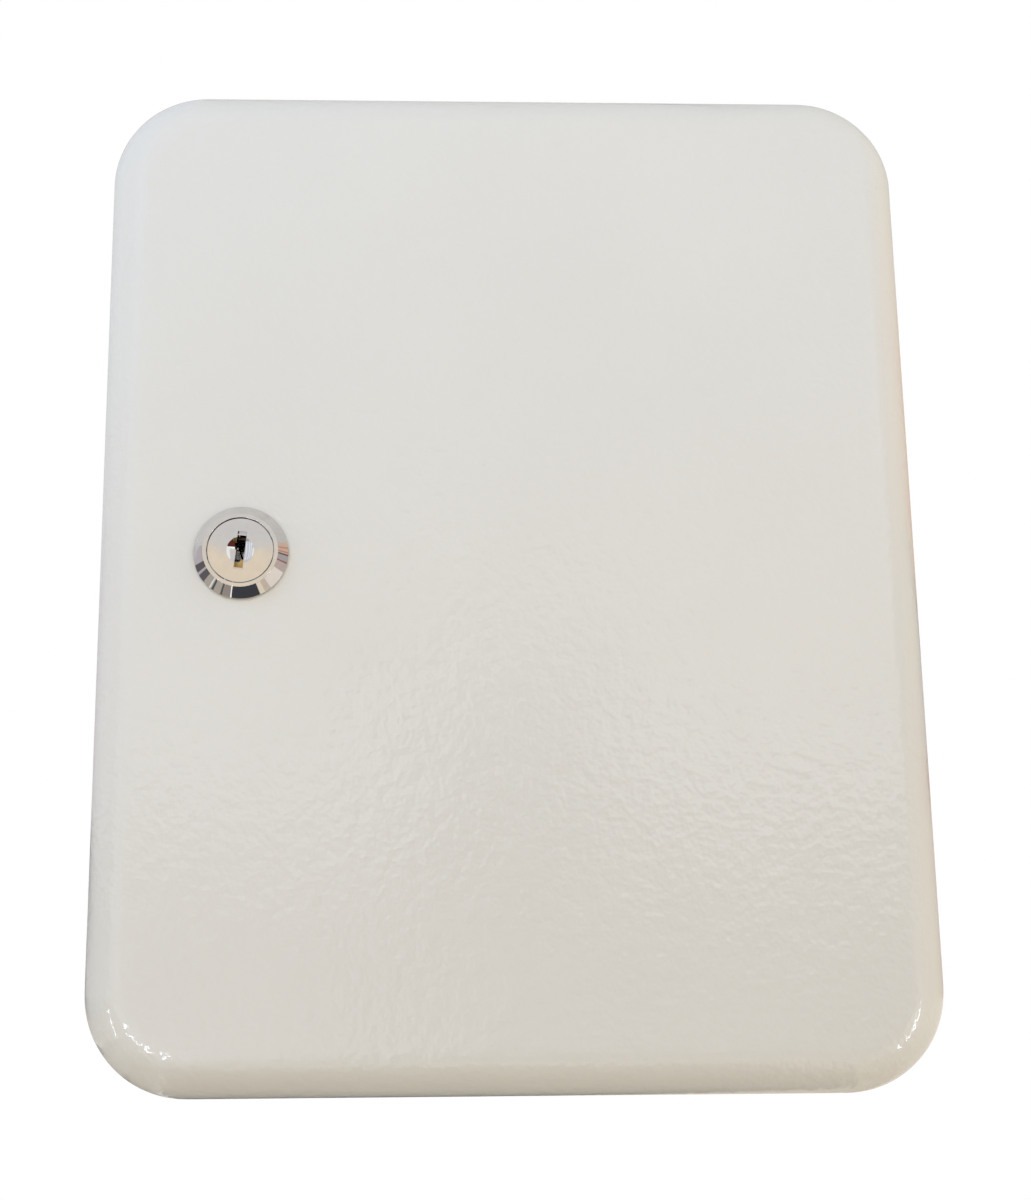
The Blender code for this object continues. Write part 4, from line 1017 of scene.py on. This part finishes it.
def bezel_and_barrel(chrome):
    """The lock's housing: a bevelled bezel, a threaded barrel with two flats, and grooves for the wafers."""
    bore = PLUG_RADIUS + PLUG_CLEARANCE
    recess = PLUG_HEAD_RADIUS + PLUG_CLEARANCE
    recess_floor = PLUG_SHOULDER_DEPTH + SEAT_GAP
    stop_bore = STOP_WASHER_RADIUS + SEAT_GAP
    land_depth = BEZEL_FACE_DEPTH + BEZEL_LAND_DROP * (BEZEL_FLAT_RADIUS - recess)
    foot = Vector((BEZEL_RADIUS, BEZEL_SEAT_DEPTH - BEZEL_RIM))
    brow = Vector((BEZEL_FLAT_RADIUS, BEZEL_FACE_DEPTH))
    share = BEZEL_MARGIN / (brow - foot).length
    slope = [tuple(foot.lerp(brow, share)), tuple(foot.lerp(brow, 1 - share))]
    profile = fillet_path([
        (BEZEL_RADIUS, BEZEL_SEAT_DEPTH),
        (BEZEL_RADIUS, BEZEL_SEAT_DEPTH - BEZEL_RIM, BEZEL_FILLET),
        *slope,
        (BEZEL_FLAT_RADIUS, BEZEL_FACE_DEPTH, BEZEL_FILLET),
        (BEZEL_FLAT_RADIUS - BEZEL_MARGIN, BEZEL_FACE_DEPTH + BEZEL_LAND_DROP * BEZEL_MARGIN),
        (recess + BEZEL_MARGIN, land_depth - BEZEL_LAND_DROP * BEZEL_MARGIN),
        (recess, land_depth, BEZEL_FILLET),
        (recess, recess_floor, BEZEL_FILLET),
        (bore, recess_floor, BEZEL_FILLET),
        (bore, PLUG_END_DEPTH),
        (stop_bore, PLUG_END_DEPTH),
        (stop_bore, BARREL_END_DEPTH),
    ])
    rings = [(circle(radius), depth) for radius, depth in profile]
    ring_step = THREAD_PITCH / THREAD_STEPS
    ring_count = int((BARREL_END_DEPTH - THREAD_PITCH) / ring_step)
    rings += [thread_ring(BARREL_END_DEPTH - ring_step * number) for number in range(ring_count)]
    rings += [(with_flats(circle(BARREL_RADIUS), BARREL_HALF_FLATS), BEZEL_SEAT_DEPTH)]
    half_width = WAFER_HALF_WIDTH + WAFER_SLOT_GAP
    half_height = WAFER_RADIUS + WAFER_TRAVEL + WAFER_SLOT_GAP
    rear = BARREL_END_DEPTH + CUT_OVERRUN
    groove_ends = (FIRST_WAFER_DEPTH - WAFER_PITCH / 2, rear)
    opening = STOP_LUG_ANGLE / 2 + PLUG_TURN / 2 + STOP_SLACK_ANGLE
    middle = math.pi / 2 + PLUG_TURN / 2
    gate = [(0, 0)] + arc(BARREL_RADIUS + CUT_OVERRUN, middle - opening, middle + opening, CAM_STEPS)
    mesh = cut(
        loft(rings, hollow=True),
        prism(rectangle(-half_width, half_width, -half_height, half_height), *groove_ends),
        prism(rectangle(-half_height, half_height, -half_width, half_width), *groove_ends),
        prism(gate, PLUG_END_DEPTH - SEAT_GAP, rear),
    )
    at_lock("bezel_and_barrel", mesh, "door", "chrome", ["lock_housing"], chrome)


def dish_profile():
    """The hollow in the plug's face, from near its middle out to its lip."""
    sphere = (DISH_RADIUS**2 + DISH_DEPTH**2) / (2 * DISH_DEPTH)
    reach = math.asin(DISH_RADIUS / sphere)
    floor = PLUG_FACE_DEPTH + DISH_DEPTH
    angles = [reach * step / DISH_STEPS for step in range(1, DISH_STEPS)]
    return [(sphere * math.sin(a), floor - sphere * (1 - math.cos(a))) for a in angles]


def plug(chrome, satin, keyway_shade_finish):
    """The plug: a dished face with the keyway, slots for the wafers and a square shank."""
    face = fillet_path([
        dish_profile()[-1],
        (DISH_RADIUS, PLUG_FACE_DEPTH, DISH_LIP),
        (PLUG_HEAD_RADIUS, PLUG_FACE_DEPTH, PLUG_FILLET),
        (PLUG_HEAD_RADIUS, PLUG_SHOULDER_DEPTH),
        (PLUG_RADIUS, PLUG_SHOULDER_DEPTH),
        (PLUG_RADIUS, PLUG_END_DEPTH),
    ])
    rings = [(circle(radius), depth) for radius, depth in dish_profile()[:-1] + face]
    shank = polygon(SHANK_HALF_SIDE, 4, LOCK_STEPS)
    rings += [(shank, PLUG_END_DEPTH), (shank, SHANK_END_DEPTH)]
    half = KEYWAY_WIDTH / 2
    mouth_half = KEY_MOUTH_HEIGHT / 2
    flare = KEYWAY_CHAMFER + CUT_OVERRUN
    front = PLUG_FACE_DEPTH - CUT_OVERRUN
    mouth_floor = PLUG_FACE_DEPTH + KEY_MOUTH_DEPTH
    straight = rectangle(-half, half, -mouth_half, mouth_half)
    mouth = loft([
        (rectangle(-half - flare, half + flare, -mouth_half - flare, mouth_half + flare), front),
        (straight, PLUG_FACE_DEPTH + KEYWAY_CHAMFER),
        (straight, mouth_floor),
    ])
    keyway = rectangle(-half, half, -KEYWAY_HEIGHT / 2, KEYWAY_HEIGHT / 2)
    ward = rectangle(-half - WARD_REACH, half, WARD_LOW_Z, WARD_HIGH_Z)
    side = WAFER_HALF_WIDTH + WAFER_SLOT_GAP
    slot = rectangle(-side, side, -PLUG_RADIUS - CUT_OVERRUN, PLUG_RADIUS + CUT_OVERRUN)
    slot_half = WAFER_SHEET / 2 + WAFER_SLOT_GAP
    pocket_side = WAFER_HALF_WIDTH + WAFER_LUG_REACH + WAFER_SLOT_GAP
    pocket_top = WAFER_LUG_HIGH + WAFER_TRAVEL + WAFER_SLOT_GAP
    pocket = rectangle(WAFER_HALF_WIDTH - SEAT_GAP, pocket_side, SPRING_POCKET_FLOOR_Z, pocket_top)
    screw_bore = (circle(SCREW_BORE_RADIUS), SCREW_END_DEPTH - SEAT_GAP, SHANK_END_DEPTH + CUT_OVERRUN)
    mesh = cut(
        loft(rings),
        mouth,
        prism(keyway, mouth_floor - SEAT_GAP, KEYWAY_END_DEPTH),
        prism(ward, front, KEYWAY_END_DEPTH),
        prism(*screw_bore),
        *(
            joined([prism(shape, depth - reach, depth + reach) for depth in WAFER_DEPTHS])
            for shape, reach in ((slot, slot_half), (pocket, SPRING_POCKET_HALF))
        ),
    )
    # Faces deep in the keyway, the wafer slots and the bores take the near-black finish, which is painted
    # shade for the dark inside of the lock; the keyway's mouth walls take satin chrome
    for face in mesh.polygons:
        x, depth, z = face.center
        within = abs(x) < half + SEAT_GAP and abs(z) < mouth_half + SEAT_GAP
        if depth > mouth_floor + SEAT_GAP and math.hypot(x, z) < PLUG_RADIUS - SEAT_GAP:
            face.material_index = 2
        elif within and depth > PLUG_FACE_DEPTH + DISH_DEPTH:
            face.material_index = 1
        else:
            face.material_index = 0
    at_lock("plug", mesh, "plug", "chrome", ["lock_plug"], chrome, satin, keyway_shade_finish)


def brass_wafers(brass):
    """Stamped wafers. Each has a window for the key, whose sill is deeper on one side."""
    reach = math.asin(WAFER_HALF_WIDTH / WAFER_RADIUS)
    top = arc(WAFER_RADIUS, math.pi / 2 + reach, math.pi / 2 - reach, WAFER_STEPS)
    lug_x = WAFER_HALF_WIDTH + WAFER_LUG_REACH
    lug = [
        (WAFER_HALF_WIDTH, WAFER_LUG_HIGH), (lug_x, WAFER_LUG_HIGH),
        (lug_x, WAFER_LUG_LOW), (WAFER_HALF_WIDTH, WAFER_LUG_LOW),
    ]
    outline = top + lug + [(x, -z) for x, z in top[::-1]]
    half = WAFER_WINDOW_HALF_WIDTH
    for number, (depth, sill) in enumerate(zip(WAFER_DEPTHS, WAFER_WINDOW_SILLS), 1):
        front, rear = depth - WAFER_SHEET / 2, depth + WAFER_SHEET / 2
        body = cut(
            softened(prism(outline, front, rear), WAFER_EDGE),
            through(rectangle(-half, half, sill, WAFER_WINDOW_TOP), front, rear),
            through(moved(circle(half / 2, HOLE_STEPS), -half / 2, sill), front, rear),
        )
        at_lock(f"brass_wafer_{number}", body, f"wafer_{number}", "brass", [f"wafer_{number}"], brass)


def hexagon_body(half_flats, front, rear, bore, chamfer):
    """A hexagon whose corners are turned off at both ends. With a bore it is a nut."""
    corners = polygon(half_flats, 6, HEXAGON_STEPS)
    rings = []
    for step in range(CHAMFER_STEPS + 1):
        back = step / CHAMFER_STEPS * chamfer
        limit = half_flats + chamfer * (step / CHAMFER_STEPS) * math.sqrt(3)
        shares = [min(1, limit / math.hypot(x, z)) for x, z in corners]
        rings.append(([(x * share, z * share) for (x, z), share in zip(corners, shares)], back))
    outer = [(ring, front + back) for ring, back in rings]
    outer += [(ring, rear - back) for ring, back in reversed(rings)]
    if bore is None:
        return loft(outer)
    wide, narrow = circle(bore + HOLE_CHAMFER, HEXAGON_STEPS), circle(bore, HEXAGON_STEPS)
    inner = [(wide, rear), (narrow, rear - HOLE_CHAMFER), (narrow, front + HOLE_CHAMFER), (wide, front)]
    return loft(outer + inner, hollow=True)


def lock_nut(zinc):
    """The large flat nut that clamps the lock."""
    bore = BARREL_RADIUS + SEAT_GAP
    mesh = hexagon_body(NUT_HALF_FLATS, NUT_FRONT_DEPTH, NUT_REAR_DEPTH, bore, HEXAGON_CHAMFER)
    at_lock("clamp_nut", mesh, "door", "zinc", ["lock_nut"], zinc)


def flat_ring(outer, inner, front, rear):
    """A flat ring between an outline and a hole."""
    return loft([(outer, front), (outer, rear), (inner, rear), (inner, front)], hollow=True)


def stop_washer(zinc):
    """The washer whose lug runs in the housing's gate."""
    ends = (STOP_FRONT_DEPTH, STOP_REAR_DEPTH)
    body = flat_ring(circle(STOP_WASHER_RADIUS), polygon(SHANK_HALF_SIDE + SEAT_GAP, 4, LOCK_STEPS), *ends)
    half = STOP_WASHER_RADIUS * math.sin(STOP_LUG_ANGLE / 2)
    root = (STOP_WASHER_RADIUS + SHANK_HALF_SIDE + SEAT_GAP) / 2
    lug = prism(rectangle(-half, half, root, STOP_WASHER_RADIUS + STOP_LUG_REACH), *ends)
    mesh = softened(combined(body, lug, "UNION"), WASHER_EDGE)
    at_lock("lugged_washer", mesh, "plug", "zinc", ["stop_washer"], zinc)


def cam(zinc):
    """The flat arm that turns behind the flange."""
    tip = CAM_TIP_HALF_WIDTH / 2
    outline = arc(tip, 0, math.pi / 2, CAM_STEPS // 4, (CAM_TIP_HALF_WIDTH - tip, CAM_LENGTH - tip))
    outline += arc(tip, math.pi / 2, math.pi, CAM_STEPS // 4, (tip - CAM_TIP_HALF_WIDTH, CAM_LENGTH - tip))
    outline += arc(CAM_ROOT_HALF_WIDTH, math.pi, 2 * math.pi, CAM_STEPS)
    body = softened(prism(outline, CAM_FRONT_DEPTH, CAM_REAR_DEPTH), CAM_EDGE)
    hole = polygon(SHANK_HALF_SIDE + SEAT_GAP, 4, CAM_HOLE_STEPS)
    mesh = cut(body, through(hole, CAM_FRONT_DEPTH, CAM_REAR_DEPTH))
    at_lock("cam", mesh, "plug", "zinc", ["lock_cam"], zinc)


def cam_fastener(zinc):
    """The washer and the hexagon-head screw on the cam."""
    outer, inner = circle(WASHER_RADIUS), circle(SCREW_BORE_RADIUS)
    washer = flat_ring(outer, inner, WASHER_FRONT_DEPTH, WASHER_REAR_DEPTH)
    at_lock("plain_washer", softened(washer, WASHER_EDGE), "plug", "zinc", ["cam_washer"], zinc)
    head = hexagon_body(SCREW_HEAD_HALF_FLATS, SCREW_HEAD_DEPTH, SCREW_HEAD_END_DEPTH, None, SCREW_CHAMFER)
    outline = circle(SCREW_RADIUS, HEXAGON_STEPS)
    shank = loft([(outline, SCREW_END_DEPTH), (outline, SCREW_HEAD_DEPTH + SCREW_CHAMFER)])
    at_lock("hexagon_screw", combined(head, shank, "UNION"), "plug", "zinc", ["cam_screw"], zinc)


class Finish:
    """A procedural material: its node tree, its shader and short calls for the nodes that it uses."""

    def __init__(self, name, colour, roughness, metallic=0.0, **sockets):
        self.material = bpy.data.materials.new(name)
        self.material.use_nodes = True
        self.material.diffuse_color = (*colour, 1)
        self.tree = self.material.node_tree
        self.shader = self.tree.nodes["Principled BSDF"]
        self.place = self.node("ShaderNodeTexCoord").outputs["Object"]
        settings = {"Base Color": (*colour, 1), "Roughness": roughness, "Metallic": metallic, **sockets}
        for label, value in settings.items():
            self.shader.inputs[label].default_value = value

    def node(self, kind, inputs=None, **settings):
        """A node of this finish's tree."""
        return add_node(self.tree, kind, inputs, **settings)

    def stretched(self, scale):
        """The piece's own coordinates, squeezed along its axes."""
        return self.node("ShaderNodeMapping", {"Vector": self.place, "Scale": scale}).outputs["Vector"]

    def noise(self, grain, detail=2.0, where=None, roughness=0.5):
        """Noise whose grains are about as wide as the given size."""
        inputs = {"Vector": where or self.place, "Scale": 1 / grain, "Detail": detail, "Roughness": roughness}
        return self.node("ShaderNodeTexNoise", inputs).outputs["Fac"]

    def spread(self, value, low, high, source=NOISE_RANGE):
        """A value taken from a source range to another."""
        inputs = {"Value": value, "From Min": source[0], "From Max": source[1], "To Min": low, "To Max": high}
        return self.node("ShaderNodeMapRange", inputs).outputs["Result"]

    def maths(self, operation, first, second):
        return self.node("ShaderNodeMath", {0: first, 1: second}, operation=operation).outputs[0]

    def tinted(self, factor, first, second):
        """A colour between two, by a factor."""
        return mixed_colour(self.tree, factor, first, second)

    def bumps(self, *layers):
        """Layers of (height, depth) worked into the surface one after another."""
        normal = None
        for height, depth in layers:
            inputs = {"Height": height, "Distance": depth, "Strength": 1.0}
            if normal:
                inputs["Normal"] = normal
            normal = self.node("ShaderNodeBump", inputs).outputs["Normal"]
        return normal

    def drive(self, label, source):
        """Links a node's output to one of the shader's inputs."""
        self.tree.links.new(source, self.shader.inputs[label])

    def mottle(self, value, first, second, most=1.0):
        """Drives the colour between two, by a noise."""
        self.drive("Base Color", self.tinted(self.spread(value, 0, most), first, second))

    def roughen(self, value, smoothest, roughest, source=NOISE_RANGE):
        """Drives the roughness over a range, by a noise."""
        self.drive("Roughness", self.spread(value, smoothest, roughest, source))


def plain_finish(name):
    """A finish from the table of those with one mottle."""
    colour, mottle_colour, metallic, rough_range, mottle, marks = PLAIN_FINISHES[name]
    finish = Finish(name, colour, rough_range[0], metallic)
    value = finish.noise(*mottle)
    finish.mottle(value, colour, mottle_colour)
    finish.roughen(value, *rough_range)
    if marks:
        finish.drive("Normal", finish.bumps((finish.noise(*marks[:2]), marks[2])))
    return finish.material


def powder_coat():
    """Light grey gloss powder coat with orange peel, faint mottling and a few dark specks."""
    gloss = {"Coat Weight": 0.9, "Coat Roughness": 0.07, "Coat IOR": 1.5}
    coat = Finish("powder_coat", PAINT_COLOUR, PAINT_ROUGHNESS, **gloss)
    cell = coat.node("ShaderNodeTexVoronoi", {"Vector": coat.place, "Scale": 1 / SPECK_PITCH})
    chance = coat.node("ShaderNodeSeparateColor", {"Color": cell.outputs["Color"]}).outputs["Red"]
    near = coat.spread(cell.outputs["Distance"], 1, 0, (SPECK_SIZE_SHARE / 2, SPECK_SIZE_SHARE))
    speck = coat.maths("MULTIPLY", near, coat.maths("GREATER_THAN", chance, 1 - SPECK_CHANCE_SHARE))
    even = coat.tinted(coat.spread(coat.noise(grain=0.05, detail=3), 0, 1), PAINT_COLOUR, PAINT_MOTTLE_COLOUR)
    coat.drive("Base Color", coat.tinted(speck, even, PAINT_SPECK_COLOUR))
    coat.roughen(coat.noise(grain=0.004), *PAINT_ROUGHNESS_RANGE)
    peel = coat.noise(PEEL_PITCH, detail=1.5)
    sag = coat.noise(SAG_PITCH, detail=1)
    normal = coat.bumps((sag, SAG_DEPTH), (peel, PEEL_DEPTH))
    coat.drive("Normal", normal)
    coat.drive("Coat Normal", normal)
    return coat.material


def zinc_plate():
    """Bright zinc plating over rolled steel: fine grain, cloudy patches and a slight yellow and blue cast."""
    zinc = Finish("zinc_plate", ZINC_COLOUR, 0.3, 1.0)
    cloud = zinc.noise(grain=0.006, detail=4, roughness=0.6)
    grain = zinc.noise(grain=0.0004, detail=3, where=zinc.stretched((1, 1, 0.15)))
    colour = zinc.tinted(zinc.spread(cloud, 0, 1), ZINC_COLOUR, ZINC_CLOUD_COLOUR)
    zinc.mottle(zinc.noise(grain=0.012), colour, ZINC_CAST_COLOUR, most=0.35)
    zinc.roughen(zinc.maths("ADD", cloud, grain), 0.30, 0.44, source=(0.7, 1.3))
    zinc.drive("Normal", zinc.bumps((cloud, 0.00003), (grain, 0.000008)))
    return zinc.material


def stamped_brass():
    """Stamped brass with rolling marks and dull patches, painted near-black behind the first wafer as painted
    shade.
    """
    brass = Finish("stamped_brass", BRASS_COLOUR, 0.28, 1.0)
    dull = brass.spread(brass.noise(grain=0.002, detail=4), 0, 1)
    clean = brass.tinted(dull, BRASS_COLOUR, BRASS_DULL_COLOUR)
    # Painted shade: the brass turns near-black behind the first wafer, where little light reaches
    depth = brass.node("ShaderNodeSeparateXYZ", {"Vector": brass.place}).outputs["Y"]
    front_y = LOCK_AXIS.y + FIRST_WAFER_DEPTH
    painted_shade = brass.spread(depth, 0, 1, (front_y, front_y + WAFER_PITCH / 2))
    brass.drive("Base Color", brass.tinted(painted_shade, clean, BRASS_PAINTED_SHADE_COLOUR))
    marks = brass.noise(grain=0.0002, detail=3, where=brass.stretched((0.1, 1, 1)))
    brass.roughen(marks, 0.30, 0.42)
    brass.drive("Normal", brass.bumps((marks, 0.000004)))
    return brass.material


def uncoated_paper():
    """White uncoated paper with visible fibres."""
    paper = Finish("uncoated_paper", PAPER_COLOUR, 0.85)
    fibre = paper.noise(grain=0.0006, detail=5, where=paper.stretched((1, 1, 0.5)), roughness=0.7)
    cloud = paper.spread(paper.noise(grain=0.008, detail=3), 0, 1)
    paper.mottle(fibre, paper.tinted(cloud, PAPER_COLOUR, PAPER_CLOUD_COLOUR), PAPER_FIBRE_COLOUR, most=0.4)
    paper.roughen(fibre, 0.78, 0.92)
    paper.drive("Normal", paper.bumps((fibre, 0.00003)))
    return paper.material


def soft_film():
    """Clear soft vinyl with slow ripples and a cloudy weld."""
    film = Finish("soft_film", FILM_COLOUR, 0.12, Alpha=0.24)
    ripple = film.noise(grain=0.018)
    film.mottle(film.noise(grain=0.01), FILM_COLOUR, FILM_CLOUD_COLOUR)
    film.roughen(ripple, 0.08, 0.2)
    film.drive("Normal", film.bumps((ripple, 0.0008), (film.noise(grain=0.0015, detail=3), 0.00004)))
    film.material.surface_render_method = "BLENDED"
    return film.material


def carried_over(finish, names):
    """Nodes of the frame that keep their own mesh and take a better finish."""
    for name in names:
        node = frame["nodes"][name]
        for slot in node.material_slots:
            slot.material = finish


def floor():
    """A plain pale floor with the cabinet's shadow on it."""
    builder = bmesh.new()
    bmesh.ops.create_grid(builder, x_segments=1, y_segments=1, size=FLOOR_HALF_SIZE)
    mesh = as_mesh(builder, outwards=False)
    mesh.transform(Matrix.Translation((0, 0, FLOOR_Z)))
    ground = Finish("pale_floor", FLOOR_COLOUR, 0.7)
    ground.roughen(ground.noise(grain=0.05, detail=3), 0.6, 0.8)
    link(bpy.data.objects.new("floor", dressed(mesh, ground.material)))


def daylight():
    """A white surround for the camera and for reflections, and a softer one that lights the cabinet."""
    world = bpy.data.worlds.new("daylight")
    bpy.context.scene.world = world
    world.use_nodes = True
    tree = world.node_tree
    path = tree.nodes.new("ShaderNodeLightPath").outputs
    seen = path["Is Camera Ray"]
    for label in ("Is Glossy Ray", "Is Transmission Ray"):
        seen = add_node(tree, "ShaderNodeMath", {0: seen, 1: path[label]}, operation="MAXIMUM").outputs[0]
    light = mixed_colour(tree, seen, DAYLIGHT_COLOUR, WHITE)
    tree.links.new(light, tree.nodes["Background"].inputs["Color"])


def toward(azimuth, elevation):
    """A direction from the door: azimuth 0 is straight out of its face, and positive is to its right."""
    a, e = math.radians(azimuth), math.radians(elevation)
    return Vector((math.sin(a) * math.cos(e), -math.cos(a) * math.cos(e), math.sin(e)))


def lamp(name, azimuth, elevation, distance, size, colour):
    """A rectangular lamp that faces the middle. Its colour is its surface's brightness, where 1 is white."""
    light = bpy.data.lights.new(name, "AREA")
    light.shape = "RECTANGLE"
    light.size, light.size_y = size
    strength = max(colour)
    light.energy = strength * math.pi * size[0] * size[1]
    light.color = [channel / strength for channel in colour]
    thing = link(bpy.data.objects.new(name, light))
    place = toward(azimuth, elevation) * distance
    thing.matrix_world = Matrix.Translation(place) @ facing_origin(place)
    thing.visible_camera = False
    thing.visible_glossy = False


def reflector(name, builder, colour):
    """A glowing card that only the chrome and the gloss of the paint can see."""
    material = bpy.data.materials.new(name)
    material.use_nodes = True
    tree = material.node_tree
    tree.nodes.clear()
    glow = add_node(tree, "ShaderNodeEmission", {"Color": (*colour, 1)}).outputs["Emission"]
    add_node(tree, "ShaderNodeOutputMaterial", {"Surface": glow})
    mesh = as_mesh(builder, outwards=False)
    thing = link(bpy.data.objects.new(name, dressed(mesh, material)))
    thing.visible_camera = False
    thing.visible_diffuse = False
    thing.visible_shadow = False


def facing_origin(place):
    """The turn of something at a place that looks back at the origin."""
    return (-place).to_track_quat("-Z", "Y").to_matrix().to_4x4()


def card(name, corners, distance, colour):
    """A flat upright card in front of the door, with its corners by azimuth and elevation."""
    builder = bmesh.new()
    slopes = [(math.tan(math.radians(a)), math.tan(math.radians(e))) for a, e in corners]
    builder.faces.new([builder.verts.new((distance * x, -distance, distance * z)) for x, z in slopes])
    reflector(name, builder, colour)


def strip(name, side, azimuth, elevation, size):
    """A narrow strip light that faces a lower corner of the door."""
    corner = Vector((side * (HALF_WIDTH - STRIP_INSET), DOOR_FACE_Y, STRIP_INSET - HALF_HEIGHT))
    offset = toward(azimuth, elevation) * STRIP_DISTANCE
    place = Matrix.Translation(corner + offset) @ facing_origin(offset)
    width, height = size
    outline = rectangle(-width / 2, width / 2, -height / 2, height / 2)
    builder = bmesh.new()
    builder.faces.new([builder.verts.new(place @ Vector((*point, 0))) for point in outline])
    reflector(name, builder, STRIP_COLOUR)


def board(name, first_hour, last_hour, colour, distance):
    """A curved board round the lock between two hours, from in front of the door to behind it."""
    builder = bmesh.new()
    hour_steps = math.ceil((last_hour - first_hour) / BOARD_HOUR_STEP)
    tilt_steps = (BOARD_FAR_TILT - BOARD_NEAR_TILT) // BOARD_TILT_STEP
    rows = []
    for step in range(hour_steps + 1):
        hour = math.radians(HOUR_ANGLE * (first_hour + (last_hour - first_hour) * step / hour_steps))
        row = []
        for tilt_step in range(tilt_steps + 1):
            tilt = math.radians(BOARD_NEAR_TILT + BOARD_TILT_STEP * tilt_step)
            across = distance * math.sin(tilt)
            offset = Vector((across * math.sin(hour), -distance * math.cos(tilt), across * math.cos(hour)))
            row.append(builder.verts.new(LOCK_AXIS + offset))
        rows.append(row)
    for row, after in zip(rows, rows[1:]):
        for i in range(tilt_steps):
            builder.faces.new((row[i], row[i + 1], after[i + 1], after[i]))
    reflector(name, builder, colour)


def camera():
    """The photo's camera: below the middle of the door, looking up."""
    ahead = Vector((
        math.sin(CAMERA_YAW) * math.cos(CAMERA_PITCH),
        math.cos(CAMERA_YAW) * math.cos(CAMERA_PITCH),
        math.sin(CAMERA_PITCH),
    ))
    right = ahead.cross(Vector((0, 0, 1))).normalized()
    up = right.cross(ahead)
    turned_right = right * math.cos(CAMERA_ROLL) + up * math.sin(CAMERA_ROLL)
    turned_up = up * math.cos(CAMERA_ROLL) - right * math.sin(CAMERA_ROLL)
    data = bpy.data.cameras.new("photo_camera")
    data.sensor_width = SENSOR_WIDTH
    data.lens = FOCAL_PIXELS * SENSOR_WIDTH / PHOTO_HEIGHT
    data.shift_x = (PHOTO_WIDTH / 2 - PRINCIPAL_PIXEL[0]) / PHOTO_HEIGHT
    data.shift_y = (PRINCIPAL_PIXEL[1] - PHOTO_HEIGHT / 2) / PHOTO_HEIGHT
    data.clip_start = CAMERA_CLIP_START
    thing = link(bpy.data.objects.new("photo_camera", data))
    turn = Matrix((turned_right, turned_up, -ahead)).transposed().to_4x4()
    thing.matrix_world = Matrix.Translation(CAMERA_OFFSET + Vector((0, DOOR_FACE_Y, 0))) @ turn
    bpy.context.scene.camera = thing


def cabinet():
    """All the pieces with their finishes."""
    paint, zinc, paper, ink = powder_coat(), zinc_plate(), uncoated_paper(), plain_finish("printing_ink")
    # The keyway's near-black finish is painted shade
    chrome, satin, keyway_shade_finish = (plain_finish(name) for name in ("chrome_plate", "satin_chrome", "keyway_painted_shade"))
    grid = grid_of_copies_tree()
    case_pan(paint)
    door_pan(paint)
    hinge_leaf("case_leaf", "hinge_leaf_case", "case", 1, 0, grid, paint)
    hinge_leaf("door_leaf", "hinge_leaf_door", "door", -1, 1, grid, paint)
    pin(zinc)
    hook_rails(grid, paint)
    rail_rivets(grid, zinc)
    number_strips(paper, ink)
    index_card(grid, paper, ink)
    clear_pocket(grid, soft_film())
    bezel_and_barrel(chrome)
    plug(chrome, satin, keyway_shade_finish)
    brass_wafers(stamped_brass())
    lock_nut(zinc)
    stop_washer(zinc)
    cam(zinc)
    cam_fastener(zinc)
    springs = [f"wafer_spring_{number}" for number in range(1, WAFER_COUNT + 1)]
    carried_over(plain_finish("spring_wire"), springs)


def studio():
    """The floor, the light and the cards."""
    floor()
    daylight()
    for values in LAMPS:
        lamp(*values)
    for values in STRIPS:
        strip(*values)
    for values in CARDS:
        card(*values)
    for number, azimuth in enumerate(SLATS, 1):
        sides = (azimuth - SLAT_WIDTH / 2, azimuth + SLAT_WIDTH / 2)
        card(f"slat_{number}", rectangle(*sides, *SLAT_ENDS), SLAT_DISTANCE, SLAT_COLOUR)
    hour = FIRST_BOARD_HOUR
    for name, last_hour, colour in BOARDS:
        board(name, hour, last_hour, colour, BOARD_DISTANCE)
        hour = last_hour
    for values in POSTS:
        board(*values, POST_DISTANCE)


bpy.context.scene.view_settings.view_transform = "Standard"
cabinet()
studio()
camera()
